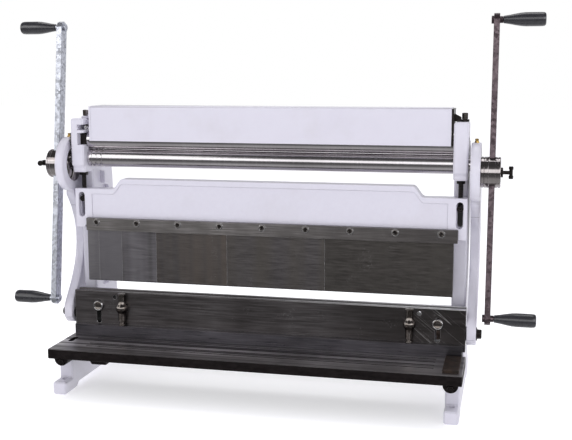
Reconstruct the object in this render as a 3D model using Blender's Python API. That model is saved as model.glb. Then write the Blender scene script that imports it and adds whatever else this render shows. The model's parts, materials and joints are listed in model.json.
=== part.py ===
"""Combination sheet metal machine: shear, press brake and slip rolls on one bench stand.

Two side castings carry everything. The crank arms turn the lower roll, and eccentrics on
its ends lift the apron through two connecting rods outside the castings. The apron shears
with the blade at its lower edge and folds in the vee along its upper edge, against the
fingers that hang from the upper beam. Metres, Z up; the operator stands at -Y.
"""

import math

import bmesh
import bpy
from mathutils import Vector

# General values
gap = 0.0003
overrun = 0.004
merge_distance = 0.00002
round_steps = 24
bolt_steps = 12
arc_steps = 4

# Side castings: a foot with a toe and a heel, a leg, a guide way and a roll housing
frame_gap = 0.754
frame_wall = 0.028
frame_edge_radius = 0.003
toe_y = -0.172
heel_y = 0.180
foot_height = 0.026
heel_height = 0.030
arch_rise = 0.009
arch_front_y = -0.118
arch_back_y = 0.118
heel_slope_y = 0.150
heel_slope_z = 0.052
back_low_y = 0.106
back_low_z = 0.150
back_high_y = 0.097
back_high_z = 0.420
back_shoulder_y = 0.088
back_shoulder_z = 0.470
leg_y = -0.139
way_y = -0.008
step_z = 0.4395
step_front_y = -0.046
housing_lip_z = 0.452
housing_front_y = -0.052
housing_back_y = 0.003
housing_top_z = 0.551
shelf_back_y = 0.056
shelf_z = 0.512
panel_front_y = 0.020
panel_back_y = 0.074
panel_low_z = 0.185
panel_high_z = 0.405
panel_depth = 0.008
panel_corner = 0.016
gusset_front_y = 0.030
gusset_back_y = 0.050
gusset_low_z = 0.410
gusset_high_z = 0.436
gusset_depth = 0.009
anchor_hole_radius = 0.0055
anchor_niche_radius = 0.0075
anchor_niche_top_z = 0.050
anchor_y = -0.1465
heel_hole_y = 0.166

# Slip rolls and their bearings
roll_radius = 0.0185
roll_y = -0.020
roll_z = 0.4685
roll_end_play = 0.0005
nip = 0.0006
shaft_radius = 0.0125
bush_radius = 0.0160
journal_radius = 0.0080
wire_groove_places = (-0.3670, -0.3570, -0.3455)
wire_groove_widths = (0.0030, 0.0040, 0.0050)
wire_groove_depth = 0.0022
rear_roll_y = 0.026
rear_roll_z = 0.470
rear_roll_rise = 0.020
rear_roll_drop = 0.006
block_half_depth = 0.0160
block_half_height = 0.0120
upper_lift = 0.0030
screw_radius = 0.0040
left_screw_set = 0.0065
right_screw_set = 0.0045
adjuster_head_radius = 0.0058
adjuster_head_height = 0.0120
adjuster_head_z = 0.5560
lock_nut_radius = 0.0068
lock_nut_height = 0.0068
nut_room_low_z = 0.5274
nut_room_high_z = 0.5385
nut_room_half_depth = 0.0100
nut_room_clearance = 0.0012
window_width = 0.0130
rear_knob_radius = 0.0090
rear_knob_height = 0.0180
rear_knob_z = 0.5230
knurl_steps = 16

# Roll gears, on the left between the casting and the connecting rod
gear_teeth = 15
pressure_angle = math.radians(20)
backlash = 0.0007
addendum_share = 0.88
dedendum_share = 1.20
flank_steps = 2

# Roll guard
guard_front_y = -0.044
guard_back_y = 0.018
guard_low_z = 0.505
guard_top_z = 0.577
guard_back_low_z = 0.532
guard_wall = 0.0028
guard_end_play = 0.0053
guard_corner = 0.004
guard_bracket_wall = 0.0040
guard_bracket_low_z = 0.5290
guard_bracket_leg = 0.0040
guard_arm_depth = 0.0080
guard_arm_tall = 0.0160
guard_arm_short = 0.0085
guard_eye_radius = 0.0085
guard_eye_height = 0.0042
guard_head_room = 0.0010

# Upper beam with its clamp bar and fingers
beam_front_y = -0.038
beam_low_z = 0.3235
beam_shoulder_z = 0.405
beam_crown_z = 0.4265
crown_half_length = 0.3000
crown_slope_length = 0.0220
crown_steps = 6
panel_border = 0.0110
beam_panel_depth = 0.0015
beam_panel_end_x = 0.3680
seat_recess = 0.0020
clamp_bar_overhang = 0.0030
clamp_bar_shift = 0.0045
clamp_bar_low_z = 0.3180
clamp_bar_high_z = 0.3435
clamp_bar_thickness = 0.0078
clamp_screw_count = 9
clamp_screw_end_inset = 0.0268
clamp_screw_z = 0.3353
clamp_screw_radius = 0.0060
clamp_screw_stand = 0.0012
clamp_socket_radius = 0.0032
clamp_socket_depth = 0.0035
finger_step = 0.0254
finger_step_counts = (1, 2, 3, 6, 8, 10)
finger_tip_z = 0.2100
finger_top_z = 0.3275
finger_thickness = 0.0120
finger_front_bevel = 0.0015
finger_back_bevel_z = 0.0150
slot_low_z = 0.3450
slot_high_z = 0.3980
slot_width = 0.0136
slot_narrow_width = 0.0108
slot_wide_depth = 0.0120
beam_bolt_z = 0.3830
beam_bolt_radius = 0.0050
beam_bolt_head_radius = 0.0063
beam_bolt_head_height = 0.0070
beam_bolt_grip = 0.0180
jack_radius = 0.0050
jack_head_radius = 0.0090
jack_head_height = 0.0072
jack_low_z = 0.3925
jack_y = -0.0230

# Apron: the moving beam with the vee on top and the shear blade below
apron_front_y = -0.049
apron_overhang = 0.0030
apron_top_z = 0.1900
apron_web_back_y = -0.027
apron_head_back_y = -0.020
apron_head_depth = 0.0160
apron_head_slope = 0.0080
apron_low_z = 0.1198
apron_corner = 0.0010
vee_y = -0.0345
vee_depth = 0.0080
vee_half_width = 0.0080
vee_floor_half = 0.0023
blade_thickness = 0.0080
blade_back_low_z = 0.1060
upper_blade_top_z = 0.1195
upper_blade_left_z = 0.1125
upper_blade_right_z = 0.1050
stroke_throw = 0.0135
pad_inner_x = 0.3400
pad_low_z = 0.1230
pad_high_z = 0.1690
pivot_y = -0.0320
pivot_z = 0.1387
pivot_boss_radius = 0.0140
guide_inset = 0.0225
guide_z = 0.1590
guide_radius = 0.0050
guide_head_radius = 0.0108
guide_head_height = 0.0060
guide_grip = 0.0160
guide_slot_clearance = 0.0003
guide_slot_low_z = 0.1262
guide_slot_high_z = 0.1665
guide_lug_reach = 0.0400
guide_lug_depth = 0.0200
guide_lug_low_z = 0.1350
guide_lug_high_z = 0.1830
hook_hole_inset = 0.0585
hook_hole_z = 0.1778
hook_hole_radius = 0.0045

# Hold-down plungers in front of the apron
plunger_inset = 0.0770
plunger_y = -0.0570
plunger_top_z = 0.1885
plunger_cap_height = 0.0050
plunger_cap_radius = 0.0085
plunger_neck_radius = 0.0060
plunger_bulge_top_z = 0.1675
plunger_bulge_low_z = 0.1475
plunger_bulge_radius = 0.0125
plunger_sleeve_radius = 0.0080
plunger_sleeve_low_z = 0.1290
plunger_bore_radius = 0.0053
plunger_bore_top_z = 0.1520
plunger_stem_radius = 0.0050
plunger_foot_radius = 0.0075
plunger_foot_height = 0.0035
plunger_travel = 0.0050
plunger_chamfer = 0.0030

# Bed with the lower blade and the side gauge
bed_front_y = -0.180
bed_overhang = 0.0050
bed_top_z = 0.0970
bed_thickness = 0.0200
bed_edge_radius = 0.0012
bed_relief_inset_x = 0.0450
bed_relief_inset_y = 0.0160
bed_relief_depth = 0.0090
bed_groove_start_x = -0.3450
bed_groove_end_x = 0.3550
bed_groove_first_y = -0.0800
bed_groove_pitch = 0.0200
bed_groove_count = 4
bed_groove_width = 0.0040
bed_groove_depth = 0.0014
bed_rib_room = 0.0205
bed_rib_length = 0.0430
bed_rib_drop = 0.0200
bed_rib_taper = 0.0120
bed_rib_front_y = -0.1350
bed_rib_back_y = -0.0900
bed_slot_y = -0.1010
bed_slot_length = 0.0350
bed_slot_width = 0.0110
lug_radius = 0.0145
left_lug_inset = 0.0080
right_lug_inset = 0.0020
lug_front_y = -0.1760
bed_bolt_radius = 0.0040
bed_bolt_head_radius = 0.0065
bed_bolt_head_height = 0.0037
bed_bolt_drop = 0.0070
bed_bolt_grip = 0.0260
lower_blade_thickness = 0.0145
lower_blade_top_z = 0.1200
lower_blade_end_inset = 0.0020
gauge_width = 0.0300
gauge_length = 0.0960
gauge_thickness = 0.0060
gauge_end_inset = 0.0070
gauge_front_y = -0.1680
tie_y = 0.0700
tie_z = 0.1050
tie_radius = 0.0110
tie_end_radius = 0.0070
tie_bite = 0.0180

# Crank: eccentrics with hubs, arms, grips and clamping screws
left_rod_room = 0.0085
right_rod_room = 0.0050
rod_thickness = 0.0180
eccentric_radius = 0.0360
hub_radius = 0.0296
hub_reach = 0.0598
hub_groove_depth = 0.0012
hub_groove_width = 0.0022
hub_groove_inset = 0.0040
hub_chamfer = 0.0015
shaft_web = 0.0035
arm_inset = 0.0158
arm_width = 0.0250
arm_thickness = 0.0110
arm_lean = math.radians(7.3)
arm_half_length = 0.2980
grip_inset = 0.0125
left_arm_set = 0.0
right_arm_set = 0.0050
stud_radius = 0.0040
stud_nut_radius = 0.0075
stud_nut_height = 0.0046
stud_collar_radius = 0.0065
stud_collar_height = 0.0062
grip_length = 0.0790
grip_neck_radius = 0.0076
grip_radius = 0.0133
grip_taper_share = 0.44
grip_round = 0.0040
grip_bore_share = 0.90
clamp_collar_radius = 0.0095
clamp_collar_height = 0.0045
clamp_neck_radius = 0.0036
left_neck_length = 0.0020
right_neck_length = 0.0125
clamp_bar_radius = 0.0044
clamp_bar_half = 0.0120

# Connecting rods
big_end_radius = 0.0565
small_end_radius = 0.0220
rod_top_width = 0.1000
rod_low_width = 0.0400
rod_bow_high_y = 0.1530
rod_bow_high_z = 0.2570
rod_bow_low_y = -0.0790
rod_bow_low_z = 0.1400
rod_path_steps = 14
rod_edge_radius = 0.0035
big_end_steps = 28
oiler_radius = 0.0040
oiler_cap_radius = 0.0030
oiler_height = 0.0075
oiler_sink = 0.0040
pivot_bolt_radius = 0.0060
pivot_washer_radius = 0.0130
pivot_washer_height = 0.0016
pivot_head_radius = 0.0095
pivot_head_height = 0.0085

# Worked out from the sizes above
inner_x = frame_gap / 2
outer_x = inner_x + frame_wall
wall_x = inner_x + frame_wall / 2
guide_x = inner_x - guide_inset
hook_hole_x = inner_x - hook_hole_inset
plunger_x = inner_x - plunger_inset
upper_roll_z = roll_z + roll_radius + roll_radius + nip
hub_z = roll_z - stroke_throw
roll_half = inner_x - roll_end_play
bed_low_z = bed_top_z - bed_thickness
bed_back_y = apron_front_y - gap
lower_blade_back_y = apron_front_y - gap
finger_front_y = beam_front_y + seat_recess
seat_y = finger_front_y + gap
apron_end_x = outer_x + apron_overhang
working_width = finger_step * sum(finger_step_counts)
hub_out_x = outer_x + hub_reach
arm_mid_x = hub_out_x - arm_inset
arm_in_x = arm_mid_x - arm_thickness / 2
arm_out_x = arm_mid_x + arm_thickness / 2
shaft_end_x = arm_in_x - shaft_web
grip_reach = arm_half_length - grip_inset
grip_in_x = arm_out_x + stud_collar_height + gap
grip_out_x = grip_in_x + grip_length

sides = (("left", -1), ("right", 1))
rod_in_x = {-1: outer_x + left_rod_room, 1: outer_x + right_rod_room}
rod_out_x = {side: place + rod_thickness for side, place in rod_in_x.items()}
arm_set = {-1: left_arm_set, 1: right_arm_set}
lug_x = {-1: wall_x - left_lug_inset, 1: wall_x - right_lug_inset}
roll_screw_x = {-1: wall_x - left_screw_set, 1: wall_x + right_screw_set}


def clear_scene():
    """Remove whatever the scene holds."""
    for thing in list(bpy.data.objects):
        bpy.data.objects.remove(thing, do_unlink=True)


def finish(name, colour, roughness, metallic):
    """Return a Principled material."""
    material = bpy.data.materials.new(name)
    material.use_nodes = True
    shader = material.node_tree.nodes["Principled BSDF"]
    shader.inputs["Base Color"].default_value = (*colour, 1.0)
    shader.inputs["Roughness"].default_value = roughness
    shader.inputs["Metallic"].default_value = metallic
    return material


def as_object(name, mesh, material=None):
    """Turn an edit mesh into an object in the scene."""
    bmesh.ops.remove_doubles(mesh, verts=mesh.verts, dist=merge_distance)
    bmesh.ops.recalc_face_normals(mesh, faces=mesh.faces)
    data = bpy.data.meshes.new(name)
    mesh.to_mesh(data)
    mesh.free()
    thing = bpy.data.objects.new(name, data)
    bpy.context.scene.collection.objects.link(thing)
    if material:
        data.materials.append(material)
    return thing


def on_axis(axis, a, b, t):
    """Place the plane point (a, b) at t along the axis."""
    return {"X": (t, a, b), "Y": (a, t, b), "Z": (a, b, t)}[axis]


def prism(name, outline, axis, ends, material=None):
    """Extrude an outline of (a, b) points along an axis, between two ends."""
    low, high = min(ends), max(ends)
    mesh = bmesh.new()
    corners = [mesh.verts.new(on_axis(axis, a, b, low)) for a, b in outline]
    face = mesh.faces.new(corners)
    grown = bmesh.ops.extrude_face_region(mesh, geom=[face])
    moved = [item for item in grown["geom"] if isinstance(item, bmesh.types.BMVert)]
    bmesh.ops.translate(mesh, verts=moved, vec=on_axis(axis, 0, 0, high - low))
    return as_object(name, mesh, material)


def box(name, x_ends, y_ends, z_ends, material=None):
    """A rectangular block between its ends on each axis."""
    (x0, x1), (y0, y1) = x_ends, y_ends
    outline = [(x0, y0), (x1, y0), (x1, y1), (x0, y1)]
    return prism(name, outline, "Z", z_ends, material)


def turned(name, profile, axis, centre, material=None, steps=round_steps):
    """Spin a profile of (place along the axis, radius) points once round the axis."""
    along = Vector(on_axis(axis, 0, 0, 1))
    across = Vector(on_axis(axis, 0, 1, 0))
    mesh = bmesh.new()
    points = [mesh.verts.new(Vector(centre) + along * t + across * r) for t, r in profile]
    edges = [mesh.edges.new(pair) for pair in zip(points, points[1:])]
    bmesh.ops.spin(
        mesh, geom=points + edges, cent=centre, axis=along,
        angle=math.tau, steps=steps, use_merge=True, use_duplicate=False,
    )
    return as_object(name, mesh, material)


def cylinder(name, axis, centre, ends, radius, material=None, steps=round_steps):
    """A plain round bar along an axis."""
    low, high = min(ends), max(ends)
    profile = [(low, 0), (low, radius), (high, radius), (high, 0)]
    return turned(name, profile, axis, centre, material, steps)


def merged(name, tools):
    """One tool made of several that stand apart."""
    mesh = bmesh.new()
    for tool in tools:
        mesh.from_mesh(tool.data)
        bpy.data.objects.remove(tool, do_unlink=True)
    return as_object(name, mesh)


def combine(target, tool, operation):
    """Add or take away a tool's shape, and keep the tool out of the model."""
    modifier = target.modifiers.new(tool.name, "BOOLEAN")
    modifier.operation = operation
    modifier.solver = "EXACT"
    modifier.object = tool
    tool.hide_render = True
    tool.display_type = "WIRE"


def cut(target, tool):
    """Take the tool's shape away from the target."""
    combine(target, tool, "DIFFERENCE")


def add(target, tool):
    """Join the tool's shape to the target."""
    combine(target, tool, "UNION")


def soften(thing, radius, segments=1):
    """Round the sharp edges of a casting or a machined block."""
    modifier = thing.modifiers.new("edges", "BEVEL")
    modifier.width = radius
    modifier.segments = segments
    modifier.limit_method = "ANGLE"
    modifier.angle_limit = math.radians(35)


def pivot(thing, point):
    """Put a moving piece's origin on its joint."""
    for vertex in thing.data.vertices:
        vertex.co -= Vector(point)
    thing.location = point


def smooth(thing):
    """Shade round pieces smooth, with their sharp edges kept."""
    thing.data.shade_smooth()
    thing.data.set_sharp_from_angle(angle=math.radians(35))


def arc(centre, radius, start, sweep, steps):
    """Points round part of a circle, in the outline's plane."""
    angles = [start + sweep * step / steps for step in range(steps + 1)]
    return [(centre[0] + radius * math.cos(a), centre[1] + radius * math.sin(a)) for a in angles]


def upright_slot(x, low, high, width):
    """Outline of a round-ended slot, upright, between its two ends."""
    radius = width / 2
    top = arc((x, high - radius), radius, 0, math.pi, arc_steps)
    bottom = arc((x, low + radius), radius, math.pi, math.pi, arc_steps)
    return top + bottom


def rounded_box(a_ends, b_ends, radius):
    """Outline of a rectangle with round corners."""
    (a0, a1), (b0, b1) = a_ends, b_ends
    centres = [(a1 - radius, b1 - radius), (a0 + radius, b1 - radius),
               (a0 + radius, b0 + radius), (a1 - radius, b0 + radius)]
    points = []
    for turn, centre in enumerate(centres):
        points += arc(centre, radius, turn * math.pi / 2, math.pi / 2, arc_steps // 2)
    return points


def side_casting(name, side, material):
    """One side casting: foot, leg, guide way and roll housing, with its bores and slots."""
    outline = [
        (toe_y, 0), (arch_front_y, 0), (arch_front_y + arch_rise, arch_rise),
        (arch_back_y - arch_rise, arch_rise), (arch_back_y, 0), (heel_y, 0),
        (heel_y, heel_height), (heel_slope_y, heel_slope_z), (back_low_y, back_low_z),
        (back_high_y, back_high_z), (back_shoulder_y, back_shoulder_z),
        (shelf_back_y, shelf_z), (housing_back_y, shelf_z), (housing_back_y, housing_top_z),
        (housing_front_y, housing_top_z), (housing_front_y, housing_lip_z),
        (step_front_y, housing_lip_z), (step_front_y, step_z), (way_y, step_z),
        (way_y, bed_low_z - gap), (leg_y, bed_low_z - gap), (leg_y, foot_height),
        (toe_y, foot_height),
    ]
    casting = prism(name, outline, "X", (side * inner_x, side * outer_x), material)
    soften(casting, frame_edge_radius)
    through = (side * (inner_x - overrun), side * (outer_x + overrun))

    lug_ends = (side * (inner_x - guide_lug_reach), side * (inner_x + overrun))
    lug = box(f"{name}_guide_lug", lug_ends, (way_y, way_y + guide_lug_depth),
              (guide_lug_low_z, guide_lug_high_z))
    add(casting, lug)

    bush_bore = cylinder(f"{name}_bush_bore", "X", (0, roll_y, roll_z), through, bush_radius + gap)
    cut(casting, bush_bore)
    block_room = box(
        f"{name}_block_room", through,
        (roll_y - block_half_depth - gap, roll_y + block_half_depth + gap),
        (upper_roll_z - block_half_height - gap, upper_roll_z + block_half_height + upper_lift + gap),
    )
    cut(casting, block_room)
    nut_room = box(
        f"{name}_nut_room",
        (side * (inner_x - overrun),
         side * (roll_screw_x[side] + lock_nut_radius + nut_room_clearance)),
        (roll_y - nut_room_half_depth, roll_y + nut_room_half_depth),
        (nut_room_low_z, nut_room_high_z),
    )
    cut(casting, nut_room)
    rear_room = box(
        f"{name}_rear_room", through,
        (rear_roll_y - block_half_depth - gap, rear_roll_y + block_half_depth + gap),
        (rear_roll_z - block_half_height - rear_roll_drop - gap,
         rear_roll_z + block_half_height + rear_roll_rise + gap),
    )
    cut(casting, rear_room)
    screws = (("upper", roll_screw_x[side], roll_y, upper_roll_z, housing_top_z),
              ("rear", wall_x, rear_roll_y, rear_roll_z, shelf_z))
    for label, place_x, place_y, low_z, top_z in screws:
        hole = cylinder(f"{name}_{label}_screw_hole", "Z", (side * place_x, place_y, 0),
                        (low_z, top_z + overrun), screw_radius + gap, steps=bolt_steps)
        cut(casting, hole)

    clamp_hole = cylinder(f"{name}_clamp_hole", "Y", (side * wall_x, 0, beam_bolt_z),
                          (way_y - overrun, way_y + beam_bolt_grip + gap),
                          beam_bolt_radius + gap, steps=bolt_steps)
    cut(casting, clamp_hole)
    guide_hole = cylinder(f"{name}_guide_hole", "Y", (side * guide_x, 0, guide_z),
                          (way_y - overrun, way_y + guide_lug_depth + overrun),
                          guide_radius + gap, steps=bolt_steps)
    cut(casting, guide_hole)
    bed_hole = cylinder(f"{name}_bed_hole", "Y", (side * lug_x[side], 0, bed_low_z - bed_bolt_drop),
                        (leg_y - overrun, leg_y + bed_bolt_grip + gap),
                        bed_bolt_radius + gap, steps=bolt_steps)
    cut(casting, bed_hole)
    tie_hole = cylinder(f"{name}_tie_hole", "X", (0, tie_y, tie_z),
                        (side * (inner_x - overrun), side * (inner_x + tie_bite + gap)),
                        tie_end_radius + gap, steps=bolt_steps)
    cut(casting, tie_hole)
    panel = prism(
        f"{name}_panel",
        rounded_box((panel_front_y, panel_back_y), (panel_low_z, panel_high_z), panel_corner),
        "X", (side * (inner_x - overrun), side * (inner_x + panel_depth)),
    )
    cut(casting, panel)

    anchor = cylinder(f"{name}_anchor", "Z", (side * wall_x, anchor_y, 0),
                      (-overrun, foot_height + overrun), anchor_hole_radius, steps=bolt_steps)
    cut(casting, anchor)
    niche = cylinder(f"{name}_niche", "Z", (side * wall_x, anchor_y, 0),
                     (foot_height, anchor_niche_top_z), anchor_niche_radius, steps=bolt_steps)
    cut(casting, niche)
    heel_hole = cylinder(f"{name}_heel_hole", "Z", (side * wall_x, heel_hole_y, 0),
                         (-overrun, heel_slope_z), anchor_hole_radius, steps=bolt_steps)
    cut(casting, heel_hole)
    return casting


def left_features(casting, name, side):
    """What only the left casting has: a gusset and a housing that is open at the front."""
    gusset = prism(
        f"{name}_gusset",
        [(gusset_back_y, gusset_low_z), (gusset_front_y, gusset_low_z),
         (gusset_front_y, gusset_high_z)],
        "X", (side * (inner_x - gusset_depth), side * (inner_x + overrun)),
    )
    add(casting, gusset)
    spans = (
        ("block", upper_roll_z - block_half_height + upper_lift,
         upper_roll_z + block_half_height + upper_lift + gap),
        ("nut", nut_room_low_z, nut_room_high_z),
    )
    for label, low, high in spans:
        window = box(
            f"window_{label}",
            (side * (inner_x - overrun), side * (inner_x + window_width)),
            (housing_front_y - overrun, roll_y - nut_room_half_depth + overrun), (low, high),
        )
        cut(casting, window)


def bed_plate(material):
    """The bed: grooved table with round lugs under its front edge."""
    half = outer_x + bed_overhang
    bed = box("bed", (-half, half), (bed_front_y, bed_back_y), (bed_low_z, bed_top_z), material)
    soften(bed, bed_edge_radius)
    relief = box("bed_relief", (-half + bed_relief_inset_x, half - bed_relief_inset_x),
                 (bed_front_y + bed_relief_inset_y, bed_back_y - bed_relief_inset_y),
                 (bed_low_z - overrun, bed_low_z + bed_relief_depth))
    cut(bed, relief)
    low, high = bed_low_z - bed_rib_drop, bed_top_z - bed_relief_depth
    start = lug_radius + bed_rib_room - lug_x[-1]
    end = start + bed_rib_length
    rib = prism("bed_rib",
                [(start, high), (start, bed_low_z), (start + bed_rib_taper, low), (end, low),
                 (end, high)],
                "Y", (bed_rib_front_y, bed_rib_back_y))
    add(bed, rib)
    for number in range(bed_groove_count):
        y = bed_groove_first_y - number * bed_groove_pitch
        groove = box(f"bed_groove_{number}", (bed_groove_start_x, bed_groove_end_x),
                     (y - bed_groove_width / 2, y + bed_groove_width / 2),
                     (bed_top_z - bed_groove_depth, bed_top_z + overrun))
        cut(bed, groove)
    for label, side in sides:
        slot = upright_slot(side * wall_x, bed_slot_y - bed_slot_length / 2,
                            bed_slot_y + bed_slot_length / 2, bed_slot_width)
        cut(bed, prism(f"bed_slot_{label}", slot, "Z", (bed_low_z - overrun, bed_top_z + overrun)))
        lug = cylinder(f"bed_lug_{label}", "Y", (side * lug_x[side], 0, bed_low_z),
                       (lug_front_y, leg_y - gap), lug_radius)
        add(bed, lug)
        hole = cylinder(f"bed_lug_hole_{label}", "Y",
                        (side * lug_x[side], 0, bed_low_z - bed_bolt_drop),
                        (lug_front_y - overrun, leg_y + overrun), bed_bolt_radius + gap,
                        steps=bolt_steps)
        cut(bed, hole)
    return bed


def bolt(name, axis, centre, face, shank_end, shank_radius, head, material, steps=bolt_steps):
    """A cap screw seen from its head: the head stands off the face, the shank runs to its end."""
    head_radius, head_height = head
    inwards = math.copysign(1, shank_end - face)
    seat = face - inwards * gap
    socket = head_radius / 2
    top = seat - inwards * head_height
    profile = [
        (top + inwards * head_height / 2, 0), (top + inwards * head_height / 2, socket),
        (top, socket), (top, head_radius), (seat, head_radius), (seat, shank_radius),
        (shank_end, shank_radius), (shank_end, 0),
    ]
    thing = turned(name, profile, axis, centre, material, steps)
    smooth(thing)
    return thing


def wire_grooves():
    """The profile of the grooves near a roll's left end, where wired edges run through."""
    points = []
    bottom = roll_radius - wire_groove_depth
    for place, width in zip(wire_groove_places, wire_groove_widths):
        points += [(place - width / 2, roll_radius), (place - width / 4, bottom),
                   (place + width / 4, bottom), (place + width / 2, roll_radius)]
    return points


def slip_roll(name, centre, journal, reaches, grooves, material):
    """One roll with its journals, which reach out to both sides."""
    left_reach, right_reach = reaches
    profile = [(-left_reach, 0), (-left_reach, journal), (-roll_half, journal),
               (-roll_half, roll_radius)]
    profile += grooves
    profile += [(roll_half, roll_radius), (roll_half, journal), (right_reach, journal),
                (right_reach, 0)]
    roll = turned(name, profile, "X", (0, *centre), material)
    smooth(roll)
    pivot(roll, (0, *centre))


def gear_outline(centre, turn):
    """Outline of a spur gear with involute flanks; a tooth points along the turn angle."""
    pitch_radius = roll_radius + nip / 2
    module = (pitch_radius + pitch_radius) / gear_teeth
    base = pitch_radius * math.cos(pressure_angle)
    tip = pitch_radius + module * addendum_share
    root = pitch_radius - module * dedendum_share
    involute_at_pitch = math.tan(pressure_angle) - pressure_angle
    half_tooth = math.pi / (2 * gear_teeth) - backlash / (2 * pitch_radius) + involute_at_pitch
    roll_at_tip = math.sqrt((tip / base) ** 2 - 1)
    points = []
    for tooth in range(gear_teeth):
        middle = turn + math.tau * tooth / gear_teeth
        flank = []
        for step in range(flank_steps + 1):
            unroll = roll_at_tip * step / flank_steps
            radius = base * math.sqrt(1 + unroll ** 2)
            flank.append((radius, half_tooth - (unroll - math.atan(unroll))))
        rising = [(root, half_tooth)] + flank
        points += [(radius, middle - angle) for radius, angle in rising]
        points += [(radius, middle + angle) for radius, angle in reversed(rising)]
    return [(centre[0] + r * math.cos(a), centre[1] + r * math.sin(a)) for r, a in points]


def roll_gear(name, centre_y, centre_z, turn, bore, material):
    """A roll's gear, on the left journal outside the casting."""
    ends = (-outer_x - gap, -rod_in_x[-1] + gap)
    gear = prism(name, gear_outline((centre_y, centre_z), turn), "X", ends, material)
    hole = cylinder(f"{name}_bore", "X", (0, centre_y, centre_z),
                    (ends[0] + overrun, ends[1] - overrun), bore + gap)
    cut(gear, hole)
    pivot(gear, (0, centre_y, centre_z))
    return gear


def bearing_block(name, side, centre_y, centre_z, material):
    """A sliding block that carries a roll's journal."""
    block = box(name, (side * (inner_x + gap), side * (outer_x - gap)),
                (centre_y - block_half_depth, centre_y + block_half_depth),
                (centre_z - block_half_height, centre_z + block_half_height), material)
    bore = cylinder(f"{name}_bore", "X", (0, centre_y, centre_z),
                    (side * (inner_x - overrun), side * (outer_x + overrun)),
                    journal_radius + gap, steps=knurl_steps)
    cut(block, bore)
    return block


def adjusting_screw(name, place, low_z, head, material, nut=None):
    """A roll's adjusting screw: shank, head with a flat-sided rim and a lock nut if it has one."""
    head_z, head_radius, head_height = head
    profile = [(low_z, 0), (low_z, screw_radius)]
    if nut:
        nut_z, nut_radius, nut_height = nut
        profile += [(nut_z, screw_radius), (nut_z, nut_radius),
                    (nut_z + nut_height, nut_radius), (nut_z + nut_height, screw_radius)]
    rim = head_height / 6
    profile += [(head_z, screw_radius), (head_z, head_radius - rim / 2),
                (head_z + rim / 2, head_radius), (head_z + head_height - rim, head_radius),
                (head_z + head_height, head_radius - rim), (head_z + head_height, 0)]
    screw = turned(name, profile, "Z", (*place, 0), material, knurl_steps)
    smooth(screw)
    pivot(screw, (*place, head_z))
    return screw


def roll_guard(material):
    """The guard over the upper roll: a folded channel, open below."""
    outer = [(guard_front_y, guard_low_z)]
    outer += arc((guard_front_y + guard_corner, guard_top_z - guard_corner), guard_corner,
                 math.pi, -math.pi / 2, arc_steps // 2)
    outer += arc((guard_back_y - guard_corner, guard_top_z - guard_corner), guard_corner,
                 math.pi / 2, -math.pi / 2, arc_steps // 2)
    outer += [(guard_back_y, guard_back_low_z), (guard_back_y - guard_wall, guard_back_low_z)]
    outer += [(guard_back_y - guard_wall, guard_top_z - guard_wall),
              (guard_front_y + guard_wall, guard_top_z - guard_wall),
              (guard_front_y + guard_wall, guard_low_z)]
    half = inner_x - guard_end_play
    return prism("roll_guard", outer, "X", (-half, half), material)


def guard_bracket(name, side, material):
    """The black end bracket: closes the guard's end and reaches over to the housing's top."""
    in_x = inner_x - guard_end_play + gap
    out_x = in_x + guard_bracket_wall
    leg_back_y = guard_front_y + guard_bracket_leg
    plate_top = guard_top_z - guard_wall / 2
    plate = prism(
        name,
        [(guard_front_y, guard_low_z), (leg_back_y, guard_low_z),
         (leg_back_y, guard_bracket_low_z), (guard_back_y, guard_bracket_low_z),
         (guard_back_y, plate_top), (guard_front_y, plate_top)],
        "X", (side * in_x, side * out_x), material,
    )
    low = housing_top_z + gap
    eye_x = roll_screw_x[side]
    eye_reach = eye_x - adjuster_head_radius - guard_head_room
    arm = prism(
        f"{name}_arm",
        [(side * (in_x + guard_bracket_wall / 2), low), (side * eye_reach, low),
         (side * eye_reach, low + guard_arm_short),
         (side * (in_x + guard_bracket_wall / 2), low + guard_arm_tall)],
        "Y", (roll_y - guard_arm_depth / 2, roll_y + guard_arm_depth / 2),
    )
    add(plate, arm)
    eye = cylinder(f"{name}_eye", "Z", (side * eye_x, roll_y, 0), (low, low + guard_eye_height),
                   guard_eye_radius, steps=knurl_steps)
    add(plate, eye)
    hole = cylinder(f"{name}_hole", "Z", (side * eye_x, roll_y, 0),
                    (low - overrun, low + guard_eye_height), screw_radius + gap, steps=bolt_steps)
    cut(plate, hole)
    return plate


def crown(x_low, x_high, drop):
    """The beam's top contour from left to right: shoulder, smooth rise, crown and down again."""
    shoulder = beam_shoulder_z - drop
    rise = beam_crown_z - beam_shoulder_z
    foot = crown_half_length + crown_slope_length
    points = [(x_low, shoulder)]
    for step in range(crown_steps + 1):
        share = step / crown_steps
        height = shoulder + rise * share * share * (3 - 2 * share)
        points.append((-foot + crown_slope_length * share, height))
    points += [(-x, z) for x, z in reversed(points[1:])]
    points.append((x_high, shoulder))
    return points


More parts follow.
